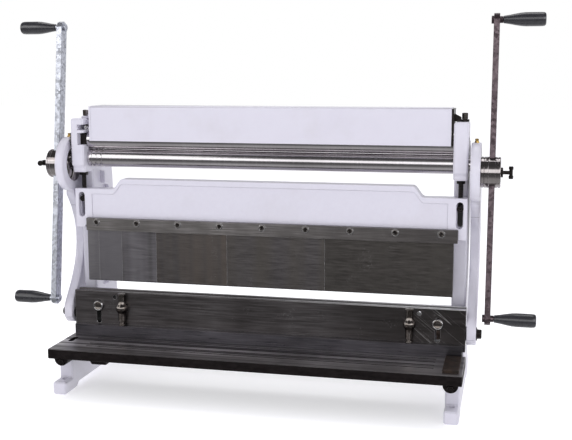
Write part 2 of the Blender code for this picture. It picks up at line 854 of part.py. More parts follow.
def upper_beam(material):
    """The upper beam: crowned casting with a sunk panel, end slots and seats for the fingers."""
    outline = [(-outer_x, beam_low_z)] + crown(-outer_x, outer_x, 0) + [(outer_x, beam_low_z)]
    beam = prism("upper_beam", outline, "Y", (beam_front_y, way_y - gap), material)
    panel = [(-beam_panel_end_x, clamp_bar_high_z)]
    panel += crown(-beam_panel_end_x, beam_panel_end_x, panel_border)
    panel += [(beam_panel_end_x, clamp_bar_high_z)]
    cut(beam, prism("beam_panel", panel, "Y",
                    (beam_front_y - overrun, beam_front_y + beam_panel_depth)))
    half = working_width / 2 + clamp_bar_overhang + gap
    bar_seat = box("beam_bar_seat", (clamp_bar_shift - half, clamp_bar_shift + half),
                   (beam_front_y - overrun, seat_y),
                   (beam_low_z - overrun, clamp_bar_high_z + gap))
    cut(beam, bar_seat)
    finger_seat = box("beam_finger_seat", (-half, half),
                      (beam_front_y - overrun, finger_front_y + finger_thickness + gap),
                      (beam_low_z - overrun, finger_top_z + gap))
    cut(beam, finger_seat)
    for label, side in sides:
        wide = upright_slot(side * wall_x, slot_low_z, slot_high_z, slot_width)
        cut(beam, prism(f"beam_slot_{label}", wide, "Y",
                        (beam_front_y - overrun, beam_front_y + slot_wide_depth)))
        inset = (slot_width - slot_narrow_width) / 2
        narrow = upright_slot(side * wall_x, slot_low_z + inset, slot_high_z - inset,
                              slot_narrow_width)
        cut(beam, prism(f"beam_narrow_slot_{label}", narrow, "Y",
                        (beam_front_y - overrun, way_y + overrun)))
        jack_hole = cylinder(f"beam_jack_hole_{label}", "Z", (side * wall_x, jack_y, 0),
                             (slot_high_z - slot_width, beam_shoulder_z + overrun),
                             jack_radius + gap, steps=bolt_steps)
        cut(beam, jack_hole)
    return beam


def clamp_bar(material):
    """The bar that clamps the fingers, with its row of cap screws."""
    half = working_width / 2 + clamp_bar_overhang
    front = finger_front_y - gap - clamp_bar_thickness
    bar = box("clamp_bar", (clamp_bar_shift - half, clamp_bar_shift + half),
              (front, finger_front_y - gap), (clamp_bar_low_z, clamp_bar_high_z), material)
    middle = (clamp_screw_count - 1) / 2
    pitch = (half - clamp_screw_end_inset) / middle
    face = front - clamp_screw_stand
    heads, sockets = [], []
    for number in range(clamp_screw_count):
        centre = ((number - middle) * pitch, 0, clamp_screw_z)
        heads.append(cylinder(f"clamp_screw_{number + 1}", "Y", centre,
                              (face, face + clamp_bar_thickness), clamp_screw_radius,
                              steps=bolt_steps))
        sockets.append(cylinder(f"clamp_socket_{number + 1}", "Y", centre,
                                (face - overrun, face + clamp_socket_depth),
                                clamp_socket_radius, steps=6))
    add(bar, merged("clamp_screws", heads))
    cut(bar, merged("clamp_sockets", sockets))
    return bar


def fingers(material):
    """The row of upper dies, each a whole number of steps wide."""
    back = finger_front_y + finger_thickness
    profile = [
        (finger_front_y, finger_tip_z + finger_front_bevel),
        (finger_front_y + finger_front_bevel, finger_tip_z),
        (back, finger_tip_z + finger_back_bevel_z), (back, finger_top_z),
        (finger_front_y, finger_top_z),
    ]
    left = -working_width / 2
    for number, count in enumerate(finger_step_counts, start=1):
        right = left + count * finger_step
        prism(f"finger_{number}", profile, "X", (left + gap / 2, right - gap / 2), material)
        left = right


def apron(material):
    """The apron: vee on top, blade seat below, guide slots and pads at its ends."""
    blade_back = apron_front_y + blade_thickness + gap
    vee_low_z = apron_top_z - vee_depth
    profile = [
        (apron_front_y, apron_low_z), (apron_front_y, apron_top_z - apron_corner),
        (apron_front_y + apron_corner, apron_top_z), (vee_y - vee_half_width, apron_top_z),
        (vee_y - vee_floor_half, vee_low_z), (vee_y + vee_floor_half, vee_low_z),
        (vee_y + vee_half_width, apron_top_z),
        (apron_head_back_y, apron_top_z), (apron_head_back_y, apron_top_z - apron_head_depth),
        (apron_web_back_y, apron_top_z - apron_head_depth - apron_head_slope),
        (apron_web_back_y, blade_back_low_z), (blade_back, blade_back_low_z),
        (blade_back, apron_low_z),
    ]
    body = prism("apron", profile, "X", (-apron_end_x, apron_end_x), material)
    for label, side in sides:
        pad = box(f"apron_pad_{label}", (side * pad_inner_x, side * (outer_x - gap)),
                  (apron_web_back_y - overrun, way_y - gap), (pad_low_z, pad_high_z))
        add(body, pad)
        boss = cylinder(f"apron_boss_{label}", "X", (0, pivot_y, pivot_z),
                        (side * (apron_end_x - overrun), side * (rod_in_x[side] - gap)),
                        pivot_boss_radius, steps=knurl_steps)
        add(body, boss)
        width = guide_radius + guide_radius + guide_slot_clearance + guide_slot_clearance
        slot = upright_slot(side * guide_x, guide_slot_low_z - width / 2,
                            guide_slot_high_z + width / 2, width)
        cut(body, prism(f"apron_slot_{label}", slot, "Y",
                        (apron_front_y - overrun, way_y + overrun)))
        hole = cylinder(f"apron_hook_hole_{label}", "Y", (side * hook_hole_x, 0, hook_hole_z),
                        (apron_front_y - overrun, way_y + overrun), hook_hole_radius,
                        steps=bolt_steps)
        cut(body, hole)
        room = turned(f"apron_plunger_room_{label}", plunger_outline(gap), "Z",
                      (side * plunger_x, plunger_y, 0), steps=knurl_steps)
        cut(body, room)
    pivot(body, (0, pivot_y, pivot_z))
    return body


def plunger_outline(grown):
    """The plunger sleeve's outer profile from bottom to top, grown by a clearance."""
    low = plunger_sleeve_low_z - grown
    if grown:
        low = apron_low_z - overrun
    return [
        (low, 0), (low, plunger_sleeve_radius + grown),
        (plunger_bulge_low_z - grown, plunger_sleeve_radius + grown),
        (plunger_bulge_low_z - grown + plunger_chamfer, plunger_bulge_radius + grown),
        (plunger_bulge_top_z + grown - plunger_chamfer, plunger_bulge_radius + grown),
        (plunger_bulge_top_z + grown, plunger_neck_radius + grown),
        (plunger_top_z - plunger_cap_height - grown, plunger_neck_radius + grown),
        (plunger_top_z - plunger_cap_height - grown, plunger_cap_radius + grown),
        (plunger_top_z + grown, plunger_cap_radius + grown), (plunger_top_z + grown, 0),
    ]


def plunger(label, side, material, pin_material):
    """A hold-down plunger: bottle-shaped sleeve with a sprung pin that presses on the sheet."""
    bored = [(plunger_bore_top_z, 0), (plunger_bore_top_z, plunger_bore_radius),
             (plunger_sleeve_low_z, plunger_bore_radius)]
    sleeve = turned(f"{label}_hold_down_sleeve", bored + plunger_outline(0)[1:], "Z",
                    (side * plunger_x, plunger_y, 0), material, knurl_steps)
    smooth(sleeve)
    foot_low = lower_blade_top_z + gap
    foot_high = foot_low + plunger_foot_height
    stem_top = plunger_bore_top_z - plunger_travel - gap
    pin = turned(
        f"{label}_hold_down_pin",
        [(foot_low, 0), (foot_low, plunger_foot_radius), (foot_high, plunger_foot_radius),
         (foot_high, plunger_stem_radius), (stem_top, plunger_stem_radius), (stem_top, 0)],
        "Z", (side * plunger_x, plunger_y, 0), pin_material, bolt_steps,
    )
    smooth(pin)
    pivot(pin, (side * plunger_x, plunger_y, foot_low))


def eccentric_hub(name, side, material):
    """Eccentric and hub in one turned piece, bored off centre for the lower roll's shaft."""
    start = rod_in_x[side] + gap
    flange = rod_out_x[side]
    rim = hub_radius - hub_groove_depth
    first = flange + hub_groove_inset
    last = hub_out_x - hub_groove_inset
    profile = [
        (start, 0), (start, eccentric_radius), (flange, eccentric_radius),
        (flange, hub_radius), (first, hub_radius), (first, rim),
        (first + hub_groove_width, rim), (first + hub_groove_width, hub_radius),
        (last - hub_groove_width, hub_radius), (last - hub_groove_width, rim),
        (last, rim), (last, hub_radius), (hub_out_x - hub_chamfer, hub_radius),
        (hub_out_x, hub_radius - hub_chamfer), (hub_out_x, 0),
    ]
    profile = [(side * t, r) for t, r in profile]
    hub = turned(name, profile, "X", (0, roll_y, hub_z), material, big_end_steps)
    smooth(hub)
    bore = cylinder(f"{name}_bore", "X", (0, roll_y, roll_z),
                    (side * (start - overrun), side * (shaft_end_x + gap)), shaft_radius + gap)
    cut(hub, bore)
    slot = prism(f"{name}_slot", arm_outline(0, gap), "X",
                 (side * (arm_in_x - gap), side * (arm_out_x + gap)))
    cut(hub, slot)
    screw_hole = cylinder(f"{name}_screw_hole", "X", (0, roll_y, hub_z),
                          (side * arm_mid_x, side * (hub_out_x + overrun)),
                          clamp_neck_radius + gap, steps=bolt_steps)
    cut(hub, screw_hole)
    pivot(hub, (0, roll_y, roll_z))


def along_arm(distance, offset=0):
    """A point in the crank's plane, at a distance up the leaning arm and an offset across it."""
    lean_y, lean_z = math.sin(arm_lean), math.cos(arm_lean)
    return (roll_y + distance * lean_y + offset * lean_z,
            hub_z + distance * lean_z - offset * lean_y)


def arm_outline(shift, grown):
    """Outline of a crank arm: a flat bar with round ends, shifted along and grown."""
    radius = arm_width / 2 + grown
    reach = arm_half_length - arm_width / 2
    points = []
    for end in (1, -1):
        for step in range(arc_steps + 1):
            angle = math.pi * step / arc_steps
            points.append(along_arm(shift + end * (reach + radius * math.sin(angle)),
                                    end * radius * math.cos(angle)))
    return points


def crank_arm(name, side, material):
    """A crank arm: flat bar with a grip stud near each end."""
    arm = prism(name, arm_outline(arm_set[side], 0), "X", (side * arm_in_x, side * arm_out_x),
                material)
    bite = arm_thickness / 4
    for end, place in (("top", grip_reach), ("bottom", -grip_reach)):
        y, z = along_arm(place + arm_set[side])
        tip = grip_in_x + grip_length * grip_bore_share - gap
        profile = [
            (arm_in_x - stud_nut_height, 0), (arm_in_x - stud_nut_height, stud_nut_radius),
            (arm_in_x + bite, stud_nut_radius), (arm_in_x + bite, stud_radius),
            (arm_out_x - bite, stud_radius), (arm_out_x - bite, stud_collar_radius),
            (arm_out_x + stud_collar_height, stud_collar_radius),
            (arm_out_x + stud_collar_height, stud_radius), (tip, stud_radius), (tip, 0),
        ]
        stud = turned(f"{name}_stud_{end}", [(side * t, r) for t, r in profile], "X",
                      (0, y, z), steps=12)
        add(arm, stud)
    pivot(arm, (side * arm_mid_x, roll_y, hub_z))


def grip(name, side, place, material):
    """A tapered grip that turns on its stud."""
    y, z = along_arm(place + arm_set[side])
    full = grip_in_x + grip_length * grip_taper_share
    bore_end = grip_in_x + grip_length * grip_bore_share
    profile = [
        (bore_end, 0), (bore_end, stud_radius + gap), (grip_in_x, stud_radius + gap),
        (grip_in_x, grip_neck_radius), (full, grip_radius), (grip_out_x - grip_round, grip_radius),
        (grip_out_x - grip_round / 4, grip_radius - grip_round / 2),
        (grip_out_x, grip_radius - grip_round), (grip_out_x, 0),
    ]
    handle = turned(name, [(side * t, r) for t, r in profile], "X", (0, y, z), material, knurl_steps)
    smooth(handle)
    pivot(handle, (side * grip_in_x, y, z))


def clamp_screw(name, side, neck_length, bar_axis, material):
    """The tee screw in the hub's end that clamps the arm, turned in as far as its neck shows."""
    collar_in = hub_out_x + gap
    collar_out = collar_in + clamp_collar_height
    neck_end = collar_out + neck_length
    profile = [
        (arm_out_x + gap, 0), (arm_out_x + gap, clamp_neck_radius),
        (collar_in, clamp_neck_radius), (collar_in, clamp_collar_radius),
        (collar_out, clamp_collar_radius), (collar_out, clamp_neck_radius),
        (neck_end, clamp_neck_radius), (neck_end, 0),
    ]
    screw = turned(name, [(side * t, r) for t, r in profile], "X", (0, roll_y, hub_z),
                   material, 12)
    centre = Vector((side * (neck_end + clamp_bar_radius / 2), roll_y, hub_z))
    bar = cylinder(f"{name}_bar", bar_axis, centre, (-clamp_bar_half, clamp_bar_half),
                   clamp_bar_radius, steps=bolt_steps)
    add(screw, bar)
    pivot(screw, (side * collar_in, roll_y, hub_z))


def rod_outline():
    """Outline of the rod: big end, a bowed shank that narrows downwards, and small end."""
    ends = ((roll_y, hub_z), (rod_bow_high_y, rod_bow_high_z),
            (rod_bow_low_y, rod_bow_low_z), (pivot_y, pivot_z))
    front, back = [], []
    for step in range(rod_path_steps + 1):
        t = step / rod_path_steps
        s = 1 - t
        shares = (s ** 3, 3 * s * s * t, 3 * s * t * t, t ** 3)
        slopes = (-3 * s * s, 3 * s * s - 6 * s * t, 6 * s * t - 3 * t * t, 3 * t * t)
        place = [sum(share * end[i] for share, end in zip(shares, ends)) for i in (0, 1)]
        way = [sum(slope * end[i] for slope, end in zip(slopes, ends)) for i in (0, 1)]
        length = math.hypot(*way)
        half = (rod_low_width + (rod_top_width - rod_low_width) * s ** 3) / 2
        across = (half * way[1] / length, -half * way[0] / length)
        front.append((place[0] + across[0], place[1] + across[1]))
        back.append((place[0] - across[0], place[1] - across[1]))
    front = [point for point in front if is_on_shank(point)]
    back = [point for point in back if is_on_shank(point)]
    big = round_end(ends[0], big_end_radius, back[0], front[0], big_end_steps)
    small = round_end(ends[-1], small_end_radius, front[-1], back[-1], round_steps // 2)
    return big + front + small + back[::-1]


def is_on_shank(point):
    """Whether a point of the shank's edge is clear of both round ends."""
    clear_of_big = math.dist(point, (roll_y, hub_z)) > big_end_radius
    return clear_of_big and math.dist(point, (pivot_y, pivot_z)) > small_end_radius


def round_end(centre, radius, before, after, steps):
    """Arc of a round end, counter-clockwise from the edge point before it to the one after it."""
    start = math.atan2(before[1] - centre[1], before[0] - centre[0])
    end = math.atan2(after[1] - centre[1], after[0] - centre[0])
    return arc(centre, radius, start, (end - start) % math.tau, steps)


def connecting_rod(name, side, material):
    """A bowed connecting rod: big end round the eccentric, small end on the apron's pivot."""
    ends = (side * rod_in_x[side], side * rod_out_x[side])
    rod = prism(name, rod_outline(), "X", ends, material)
    soften(rod, rod_edge_radius)
    cut(rod, cylinder(f"{name}_big_bore", "X", (0, roll_y, hub_z),
                      (ends[0] - side * overrun, ends[1] + side * overrun),
                      eccentric_radius + gap, steps=big_end_steps))
    cut(rod, cylinder(f"{name}_small_bore", "X", (0, pivot_y, pivot_z),
                      (ends[0] - side * overrun, ends[1] + side * overrun),
                      pivot_bolt_radius + gap, steps=bolt_steps))
    top = hub_z + big_end_radius
    oiler = turned(
        f"{name}_oiler",
        [(top - oiler_sink, 0), (top - oiler_sink, oiler_radius),
         (top + oiler_height / 3, oiler_radius), (top + oiler_height / 3, oiler_cap_radius),
         (top + oiler_height, oiler_cap_radius), (top + oiler_height, 0)],
        "Z", ((ends[0] + ends[1]) / 2, roll_y, 0), steps=bolt_steps,
    )
    add(rod, oiler)
    pivot(rod, (0, roll_y, hub_z))


def pivot_bolt(name, side, material):
    """The lower pivot bolt, with its washer, in the rod's small end."""
    start, face = rod_in_x[side], rod_out_x[side] + gap
    washer = face + pivot_washer_height
    head = washer + pivot_head_height
    profile = [
        (start, 0), (start, pivot_bolt_radius), (face, pivot_bolt_radius),
        (face, pivot_washer_radius), (washer, pivot_washer_radius), (washer, pivot_head_radius),
        (head, pivot_head_radius), (head, pivot_head_radius / 2),
        (head - pivot_head_height / 2, pivot_head_radius / 2), (head - pivot_head_height / 2, 0),
    ]
    turned(name, [(side * t, r) for t, r in profile], "X", (0, pivot_y, pivot_z), material, knurl_steps)


def build():
    """Build the machine, piece by piece."""
    clear_scene()
    paint = finish("white_enamel", (0.76, 0.75, 0.81), 0.35, 0.0)
    steel = finish("ground_steel", (0.42, 0.42, 0.43), 0.35, 1.0)
    bright = finish("turned_steel", (0.62, 0.62, 0.62), 0.2, 1.0)
    dark = finish("oiled_cast_iron", (0.055, 0.055, 0.06), 0.4, 0.8)
    black = finish("black_oxide_steel", (0.02, 0.02, 0.022), 0.4, 0.6)
    galvanised = finish("galvanised_steel", (0.45, 0.47, 0.5), 0.45, 1.0)
    plastic = finish("black_plastic", (0.015, 0.015, 0.016), 0.35, 0.0)
    bronze = finish("bearing_bronze", (0.5, 0.3, 0.12), 0.35, 1.0)

    for label, side in sides:
        casting = side_casting(f"{label}_side_casting", side, paint)
        if side < 0:
            left_features(casting, casting.name, side)

    bed_plate(dark)
    blade_half = outer_x - lower_blade_end_inset
    box("lower_blade", (-blade_half, blade_half),
        (lower_blade_back_y - lower_blade_thickness, lower_blade_back_y),
        (bed_top_z + gap, lower_blade_top_z), steel)
    gauge_end = outer_x + bed_overhang - gauge_end_inset
    box("side_gauge", (gauge_end - gauge_width, gauge_end),
        (gauge_front_y, gauge_front_y + gauge_length),
        (bed_top_z + gap, bed_top_z + gap + gauge_thickness), black)
    tie_tip = inner_x + tie_bite
    tie_shoulder = inner_x - gap
    turned("rear_tie_bar",
           [(-tie_tip, 0), (-tie_tip, tie_end_radius), (-tie_shoulder, tie_end_radius),
            (-tie_shoulder, tie_radius), (tie_shoulder, tie_radius),
            (tie_shoulder, tie_end_radius), (tie_tip, tie_end_radius), (tie_tip, 0)],
           "X", (0, tie_y, tie_z), steel, knurl_steps)

    flush = outer_x - gap
    slip_roll("lower_roll", (roll_y, roll_z), shaft_radius, (shaft_end_x, shaft_end_x),
              wire_grooves(), bright)
    slip_roll("upper_roll", (roll_y, upper_roll_z), journal_radius, (rod_in_x[-1] - gap, flush),
              [], bright)
    slip_roll("rear_roll", (rear_roll_y, rear_roll_z), journal_radius, (flush, flush),
              wire_grooves(), bright)
    up = math.pi / 2
    half_tooth_turn = math.pi / gear_teeth
    roll_gear("lower_roll_gear", roll_y, roll_z, up, shaft_radius, steel)
    roll_gear("upper_roll_gear", roll_y, upper_roll_z, -up + half_tooth_turn, journal_radius, steel)

    roll_guard(paint)
    upper_beam(paint)
    clamp_bar(steel)
    fingers(steel)
    apron(dark)
    prism("upper_blade",
          [(-apron_end_x, upper_blade_top_z), (-apron_end_x, upper_blade_left_z),
           (apron_end_x, upper_blade_right_z), (apron_end_x, upper_blade_top_z)],
          "Y", (apron_front_y, apron_front_y + blade_thickness), steel)

    for label, side in sides:
        bush = turned(
            f"{label}_roll_bush",
            [(side * (inner_x + gap), shaft_radius + gap), (side * (outer_x - gap), shaft_radius + gap),
             (side * (outer_x - gap), bush_radius), (side * (inner_x + gap), bush_radius),
             (side * (inner_x + gap), shaft_radius + gap)],
            "X", (0, roll_y, roll_z), bronze,
        )
        smooth(bush)
        bearing_block(f"{label}_upper_block", side, roll_y, upper_roll_z, black)
        bearing_block(f"{label}_rear_block", side, rear_roll_y, rear_roll_z, black)
        adjusting_screw(
            f"{label}_roll_screw", (side * roll_screw_x[side], roll_y),
            upper_roll_z + block_half_height + gap,
            (adjuster_head_z, adjuster_head_radius, adjuster_head_height), bright,
            (nut_room_low_z + gap, lock_nut_radius, lock_nut_height),
        )
        adjusting_screw(
            f"{label}_rear_screw", (side * wall_x, rear_roll_y),
            rear_roll_z + block_half_height + gap,
            (rear_knob_z, rear_knob_radius, rear_knob_height), black,
        )
        guard_bracket(f"{label}_guard_bracket", side, black)
        bolt(f"{label}_beam_bolt", "Y", (side * wall_x, 0, beam_bolt_z),
             beam_front_y + slot_wide_depth, way_y + beam_bolt_grip, beam_bolt_radius,
             (beam_bolt_head_radius, beam_bolt_head_height), black)
        jack = bolt(f"{label}_jack_screw", "Z", (side * wall_x, jack_y, 0),
                    step_z - gap - jack_head_height, jack_low_z, jack_radius,
                    (jack_head_radius, jack_head_height - gap), black)
        pivot(jack, (side * wall_x, jack_y, step_z))
        bolt(f"{label}_guide_bolt", "Y", (side * guide_x, 0, guide_z), apron_front_y,
             way_y + guide_grip, guide_radius, (guide_head_radius, guide_head_height), bright)
        bolt(f"{label}_bed_bolt", "Y", (side * lug_x[side], 0, bed_low_z - bed_bolt_drop),
             lug_front_y, leg_y + bed_bolt_grip, bed_bolt_radius,
             (bed_bolt_head_radius, bed_bolt_head_height), black)
        plunger(label, side, bright, steel)
        eccentric_hub(f"{label}_eccentric_hub", side, bright)
        crank_arm(f"{label}_crank_arm", side, galvanised)
        for end, place in (("top", grip_reach), ("bottom", -grip_reach)):
            grip(f"{label}_{end}_grip", side, place, plastic)
        neck, bar_axis = {-1: (left_neck_length, "Y"), 1: (right_neck_length, "Z")}[side]
        clamp_screw(f"{label}_arm_screw", side, neck, bar_axis, black)
        connecting_rod(f"{label}_connecting_rod", side, paint)
        pivot_bolt(f"{label}_pivot_bolt", side, black)


build()
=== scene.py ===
# %% [markdown]
# # A combination sheet metal machine, dressed for its photograph
# One bench machine shears, folds and rolls sheet metal. Its solids come packed from CAD; this
# script only gives them their surfaces, and replaces the round and threaded pieces by finer skins
# that are worked out with numpy.

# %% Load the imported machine
import json
import math

import bmesh
import bpy
import numpy as np
from mathutils import Matrix, Vector

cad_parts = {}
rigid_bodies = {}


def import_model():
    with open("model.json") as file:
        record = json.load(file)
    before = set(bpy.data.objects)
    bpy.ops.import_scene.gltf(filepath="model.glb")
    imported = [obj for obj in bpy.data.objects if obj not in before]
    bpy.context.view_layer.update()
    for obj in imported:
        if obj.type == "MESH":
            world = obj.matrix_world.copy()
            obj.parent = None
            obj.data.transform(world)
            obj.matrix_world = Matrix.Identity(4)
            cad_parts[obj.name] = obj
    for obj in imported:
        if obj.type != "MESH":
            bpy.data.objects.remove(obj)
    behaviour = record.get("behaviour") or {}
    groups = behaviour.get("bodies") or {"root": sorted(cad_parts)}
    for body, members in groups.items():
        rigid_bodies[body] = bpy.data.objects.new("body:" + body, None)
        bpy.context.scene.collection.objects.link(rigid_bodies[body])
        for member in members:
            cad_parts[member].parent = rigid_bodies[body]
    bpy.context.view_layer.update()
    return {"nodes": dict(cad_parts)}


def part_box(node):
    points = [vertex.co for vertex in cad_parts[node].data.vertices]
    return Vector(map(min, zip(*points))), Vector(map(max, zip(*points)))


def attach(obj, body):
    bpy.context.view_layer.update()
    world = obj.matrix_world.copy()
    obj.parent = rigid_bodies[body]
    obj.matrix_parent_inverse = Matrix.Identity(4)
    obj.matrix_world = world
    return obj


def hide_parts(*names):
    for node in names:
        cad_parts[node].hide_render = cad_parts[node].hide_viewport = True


for thing in list(bpy.data.objects):
    bpy.data.objects.remove(thing, do_unlink=True)
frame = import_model()
nodes = frame["nodes"]

# %% [markdown]
# ## The camera
# The photograph's own camera can be solved from the machine: its rolls, beam and bed are parallel
# lines of known length, so a few dozen of their ends fix where the lens stood and how long it was.
# That beats nudging a camera by eye.

# %% The camera that was solved from the photograph
def placed(name, data):
    """A new object that holds some data, linked to the scene."""
    thing = bpy.data.objects.new(name, data)
    bpy.context.scene.collection.objects.link(thing)
    return thing


image_width = 572
focal_px = 982.25
camera_place = Vector((0.48893, -1.93043, 0.64686))
camera_yaw, camera_pitch, camera_roll = map(math.radians, (13.10, 8.62, 0.09))

lens = bpy.data.cameras.new("product_camera")
lens.sensor_width = 36.0
lens.lens = focal_px * lens.sensor_width / image_width
lens.clip_end = 60.0
camera = placed("product_camera", lens)
looks = Vector((-math.sin(camera_yaw) * math.cos(camera_pitch),
                math.cos(camera_yaw) * math.cos(camera_pitch), -math.sin(camera_pitch)))
turn = looks.to_track_quat("-Z", "Y").to_matrix() @ Matrix.Rotation(-camera_roll, 3, "Z")
camera.matrix_world = Matrix.Translation(camera_place) @ turn.to_4x4()
bpy.context.scene.camera = camera
print("lens", round(lens.lens, 2), "mm")

# %% [markdown]
# ## Nodes and colours
# A finish is a small network of shader nodes. One function adds any node with its settings and its
# links, and another turns the hex colours that a painter would read off a card into linear light.

# %% Helpers for finishes
def linear(hex_code):
    """sRGB hex to linear RGBA: c / 12.92 below 0.04045, else ((c + 0.055) / 1.055) to the 2.4."""
    parts = np.array([int(hex_code[i:i + 2], 16) for i in (1, 3, 5)]) / 255.0
    light = np.where(parts <= 0.04045, parts / 12.92, ((parts + 0.055) / 1.055) ** 2.4)
    return (*light.tolist(), 1.0)


def add_node(tree, kind, inputs=None, **settings):
    """Add a node; inputs are values or the sockets that feed them, settings its own properties."""
    node = tree.nodes.new(kind)
    for name, value in settings.items():
        setattr(node, name, value)
    for name, value in (inputs or {}).items():
        if isinstance(value, bpy.types.NodeSocket):
            tree.links.new(value, node.inputs[name])
        else:
            node.inputs[name].default_value = value
    return node


def new_finish(name, inputs):
    """A material with its Principled shader's constant values set; returns its working parts."""
    material = bpy.data.materials.new(name)
    material.use_nodes = True
    tree = material.node_tree
    shader = tree.nodes["Principled BSDF"]
    for socket, value in inputs.items():
        shader.inputs[socket].default_value = value
    place = add_node(tree, "ShaderNodeTexCoord").outputs["Object"]
    return material, tree, shader, place


def grain(tree, place, cell_mm, detail=4.0, offset=0.0, turn=(0.0, 0.0, 0.0)):
    """Noise whose cells are cell_mm long on each axis, so that a long cell draws a line."""
    spread = add_node(tree, "ShaderNodeMapping",
                      {"Vector": place, "Location": (offset,) * 3, "Rotation": turn,
                       "Scale": tuple(size / 1000.0 for size in cell_mm)}, vector_type="TEXTURE")
    return add_node(tree, "ShaderNodeTexNoise",
                    {"Vector": spread.outputs["Vector"], "Scale": 1.0, "Detail": detail,
                     "Roughness": 0.6}).outputs["Fac"]


def eased_edge(tree, radius_mm):
    """The normal rounded over a radius, and how far it bends: 0 on a flat, 1 on an edge."""
    rounded = add_node(tree, "ShaderNodeBevel", {"Radius": radius_mm / 1000.0},
                       samples=6).outputs["Normal"]
    flat = add_node(tree, "ShaderNodeNewGeometry").outputs["True Normal"]
    same = add_node(tree, "ShaderNodeVectorMath", {0: rounded, 1: flat},
                    operation="DOT_PRODUCT").outputs["Value"]
    edge = add_node(tree, "ShaderNodeMapRange", {"Value": same, "From Min": 0.97,
                                                 "From Max": 0.80}).outputs["Result"]
    return rounded, edge


def scratch_lines(tree, place, cell_mm, thin, turn, share_from, offset):
    """Thin lines where a noise crosses one half, kept only inside patches 45 mm wide."""
    lines = grain(tree, place, cell_mm, 1.0, offset, turn)
    away = add_node(tree, "ShaderNodeMath", {0: lines, 1: 0.5}, operation="SUBTRACT")
    size = add_node(tree, "ShaderNodeMath", {0: away.outputs["Value"]}, operation="ABSOLUTE")
    line = add_node(tree, "ShaderNodeMapRange", {"Value": size.outputs["Value"], "From Min": thin,
                                                 "From Max": 0.0}).outputs["Result"]
    patch = add_node(tree, "ShaderNodeMapRange",
                     {"Value": grain(tree, place, (45,) * 3, 2.0, offset + 7.0),
                      "From Min": share_from, "From Max": share_from + 0.08}).outputs["Result"]
    return add_node(tree, "ShaderNodeMath", {0: line, 1: patch},
                    operation="MULTIPLY").outputs["Value"]


def connect(tree, shader, ground, layers, roughness, spread, height, depth, rounded=None):
    """Feed a shader its colour, its roughness and its relief.

    The colour is a ground tone under layers of (share, tone), each mixed over the last. The
    roughness runs between two values as spread runs from 0 to 1. The depth is in metres."""
    colour = linear(ground)
    for share, tone in layers:
        tone = linear(tone) if isinstance(tone, str) else tone
        colour = add_node(tree, "ShaderNodeMixRGB", {"Fac": share, "Color1": colour,
                                                     "Color2": tone}).outputs["Color"]
    gloss = add_node(tree, "ShaderNodeMapRange",
                     {"Value": spread, "To Min": roughness[0], "To Max": roughness[1]})
    relief = add_node(tree, "ShaderNodeBump", {"Height": height, "Strength": 1.0,
                                               "Distance": depth})
    if rounded is not None:
        tree.links.new(rounded, relief.inputs["Normal"])
    tree.links.new(colour, shader.inputs["Base Color"])
    tree.links.new(gloss.outputs["Result"], shader.inputs["Roughness"])
    tree.links.new(relief.outputs["Normal"], shader.inputs["Normal"])


# %% [markdown]
# ## Sprayed enamel
# The castings, the upper beam, the connecting rods and the guard are sprayed with one pale
# lavender-grey gloss enamel. On cast iron the skin of the sand mould still shows under it as a slow
# ripple; on the folded guard it lies almost flat. Edges are eased over a millimetre and drawn a
# little greyer, which is painted shade along edges and recesses, and hands leave a faint film. The
# castings' guide ways are machined after painting, so they are unpainted iron; their near-black is
# painted shade, for they lie in shade behind the apron.

# %% Enamel on castings and on folded sheet
# the guide ways: their y, the lower one's top, the upper one's middle and half its height
way_y, low_way_top, high_way, way_slack = -0.008, 0.186, (0.365, 0.035), 0.00015


def enamel(name, ripple_mm, relief_mm, edge_mm, offset, bare_ways=False):
    """Sprayed gloss enamel over waves of ripple_mm; the guide ways may be left unpainted, in
    painted shade.
    """
    material, tree, shader, place = new_finish(
        name, {"Metallic": 0.0, "IOR": 1.5, "Coat Weight": 0.3, "Coat Roughness": 0.15})
    rounded, edge = eased_edge(tree, edge_mm)
    ripple = grain(tree, place, (ripple_mm,) * 3, 3.0, offset)
    film = add_node(tree, "ShaderNodeMapRange",
                    {"Value": grain(tree, place, (90,) * 3, 6.0, offset + 2.0),
                     "From Min": 0.50, "From Max": 0.75, "To Max": 0.30}).outputs["Result"]
    # The greyer edges are painted shade along edges and recesses.
    thin = add_node(tree, "ShaderNodeMath", {0: edge, 1: 0.45},
                    operation="MULTIPLY").outputs["Value"]
    layers = [(ripple, "#E1DFEA"), (film, "#CBC6CB"), (thin, "#A9A4AB")]
    # The guide ways are unpainted iron, and their near-black is painted shade, for they lie in
    # shade behind the apron.
    if bare_ways:
        parts = add_node(tree, "ShaderNodeSeparateXYZ", {"Vector": place})
        way = add_node(tree, "ShaderNodeMath", {0: parts.outputs["Y"], 1: way_y, 2: way_slack},
                       operation="COMPARE").outputs["Value"]
        low = add_node(tree, "ShaderNodeMath", {0: parts.outputs["Z"], 1: low_way_top},
                       operation="LESS_THAN").outputs["Value"]
        high = add_node(tree, "ShaderNodeMath", {0: parts.outputs["Z"], 1: high_way[0],
                                                 2: high_way[1]},
                        operation="COMPARE").outputs["Value"]
        both_ways = add_node(tree, "ShaderNodeMath", {0: low, 1: high}, operation="ADD")
        bare_shaded_way_mask = add_node(tree, "ShaderNodeMath", {0: way, 1: both_ways.outputs["Value"]},
                        operation="MULTIPLY")
        layers.append((bare_shaded_way_mask.outputs["Value"], "#2B2826"))
    connect(tree, shader, "#DBD8E4", layers, (0.28, 0.44), ripple, ripple, relief_mm / 1000.0,
            rounded)
    return material


casting_enamel = enamel("sprayed_enamel_on_cast_iron", 8.0, 0.10, 1.6, 0.0, bare_ways=True)
sheet_enamel = enamel("sprayed_enamel_on_folded_sheet", 60.0, 0.05, 0.7, 3.0)
print("enamels:", casting_enamel.name, sheet_enamel.name)

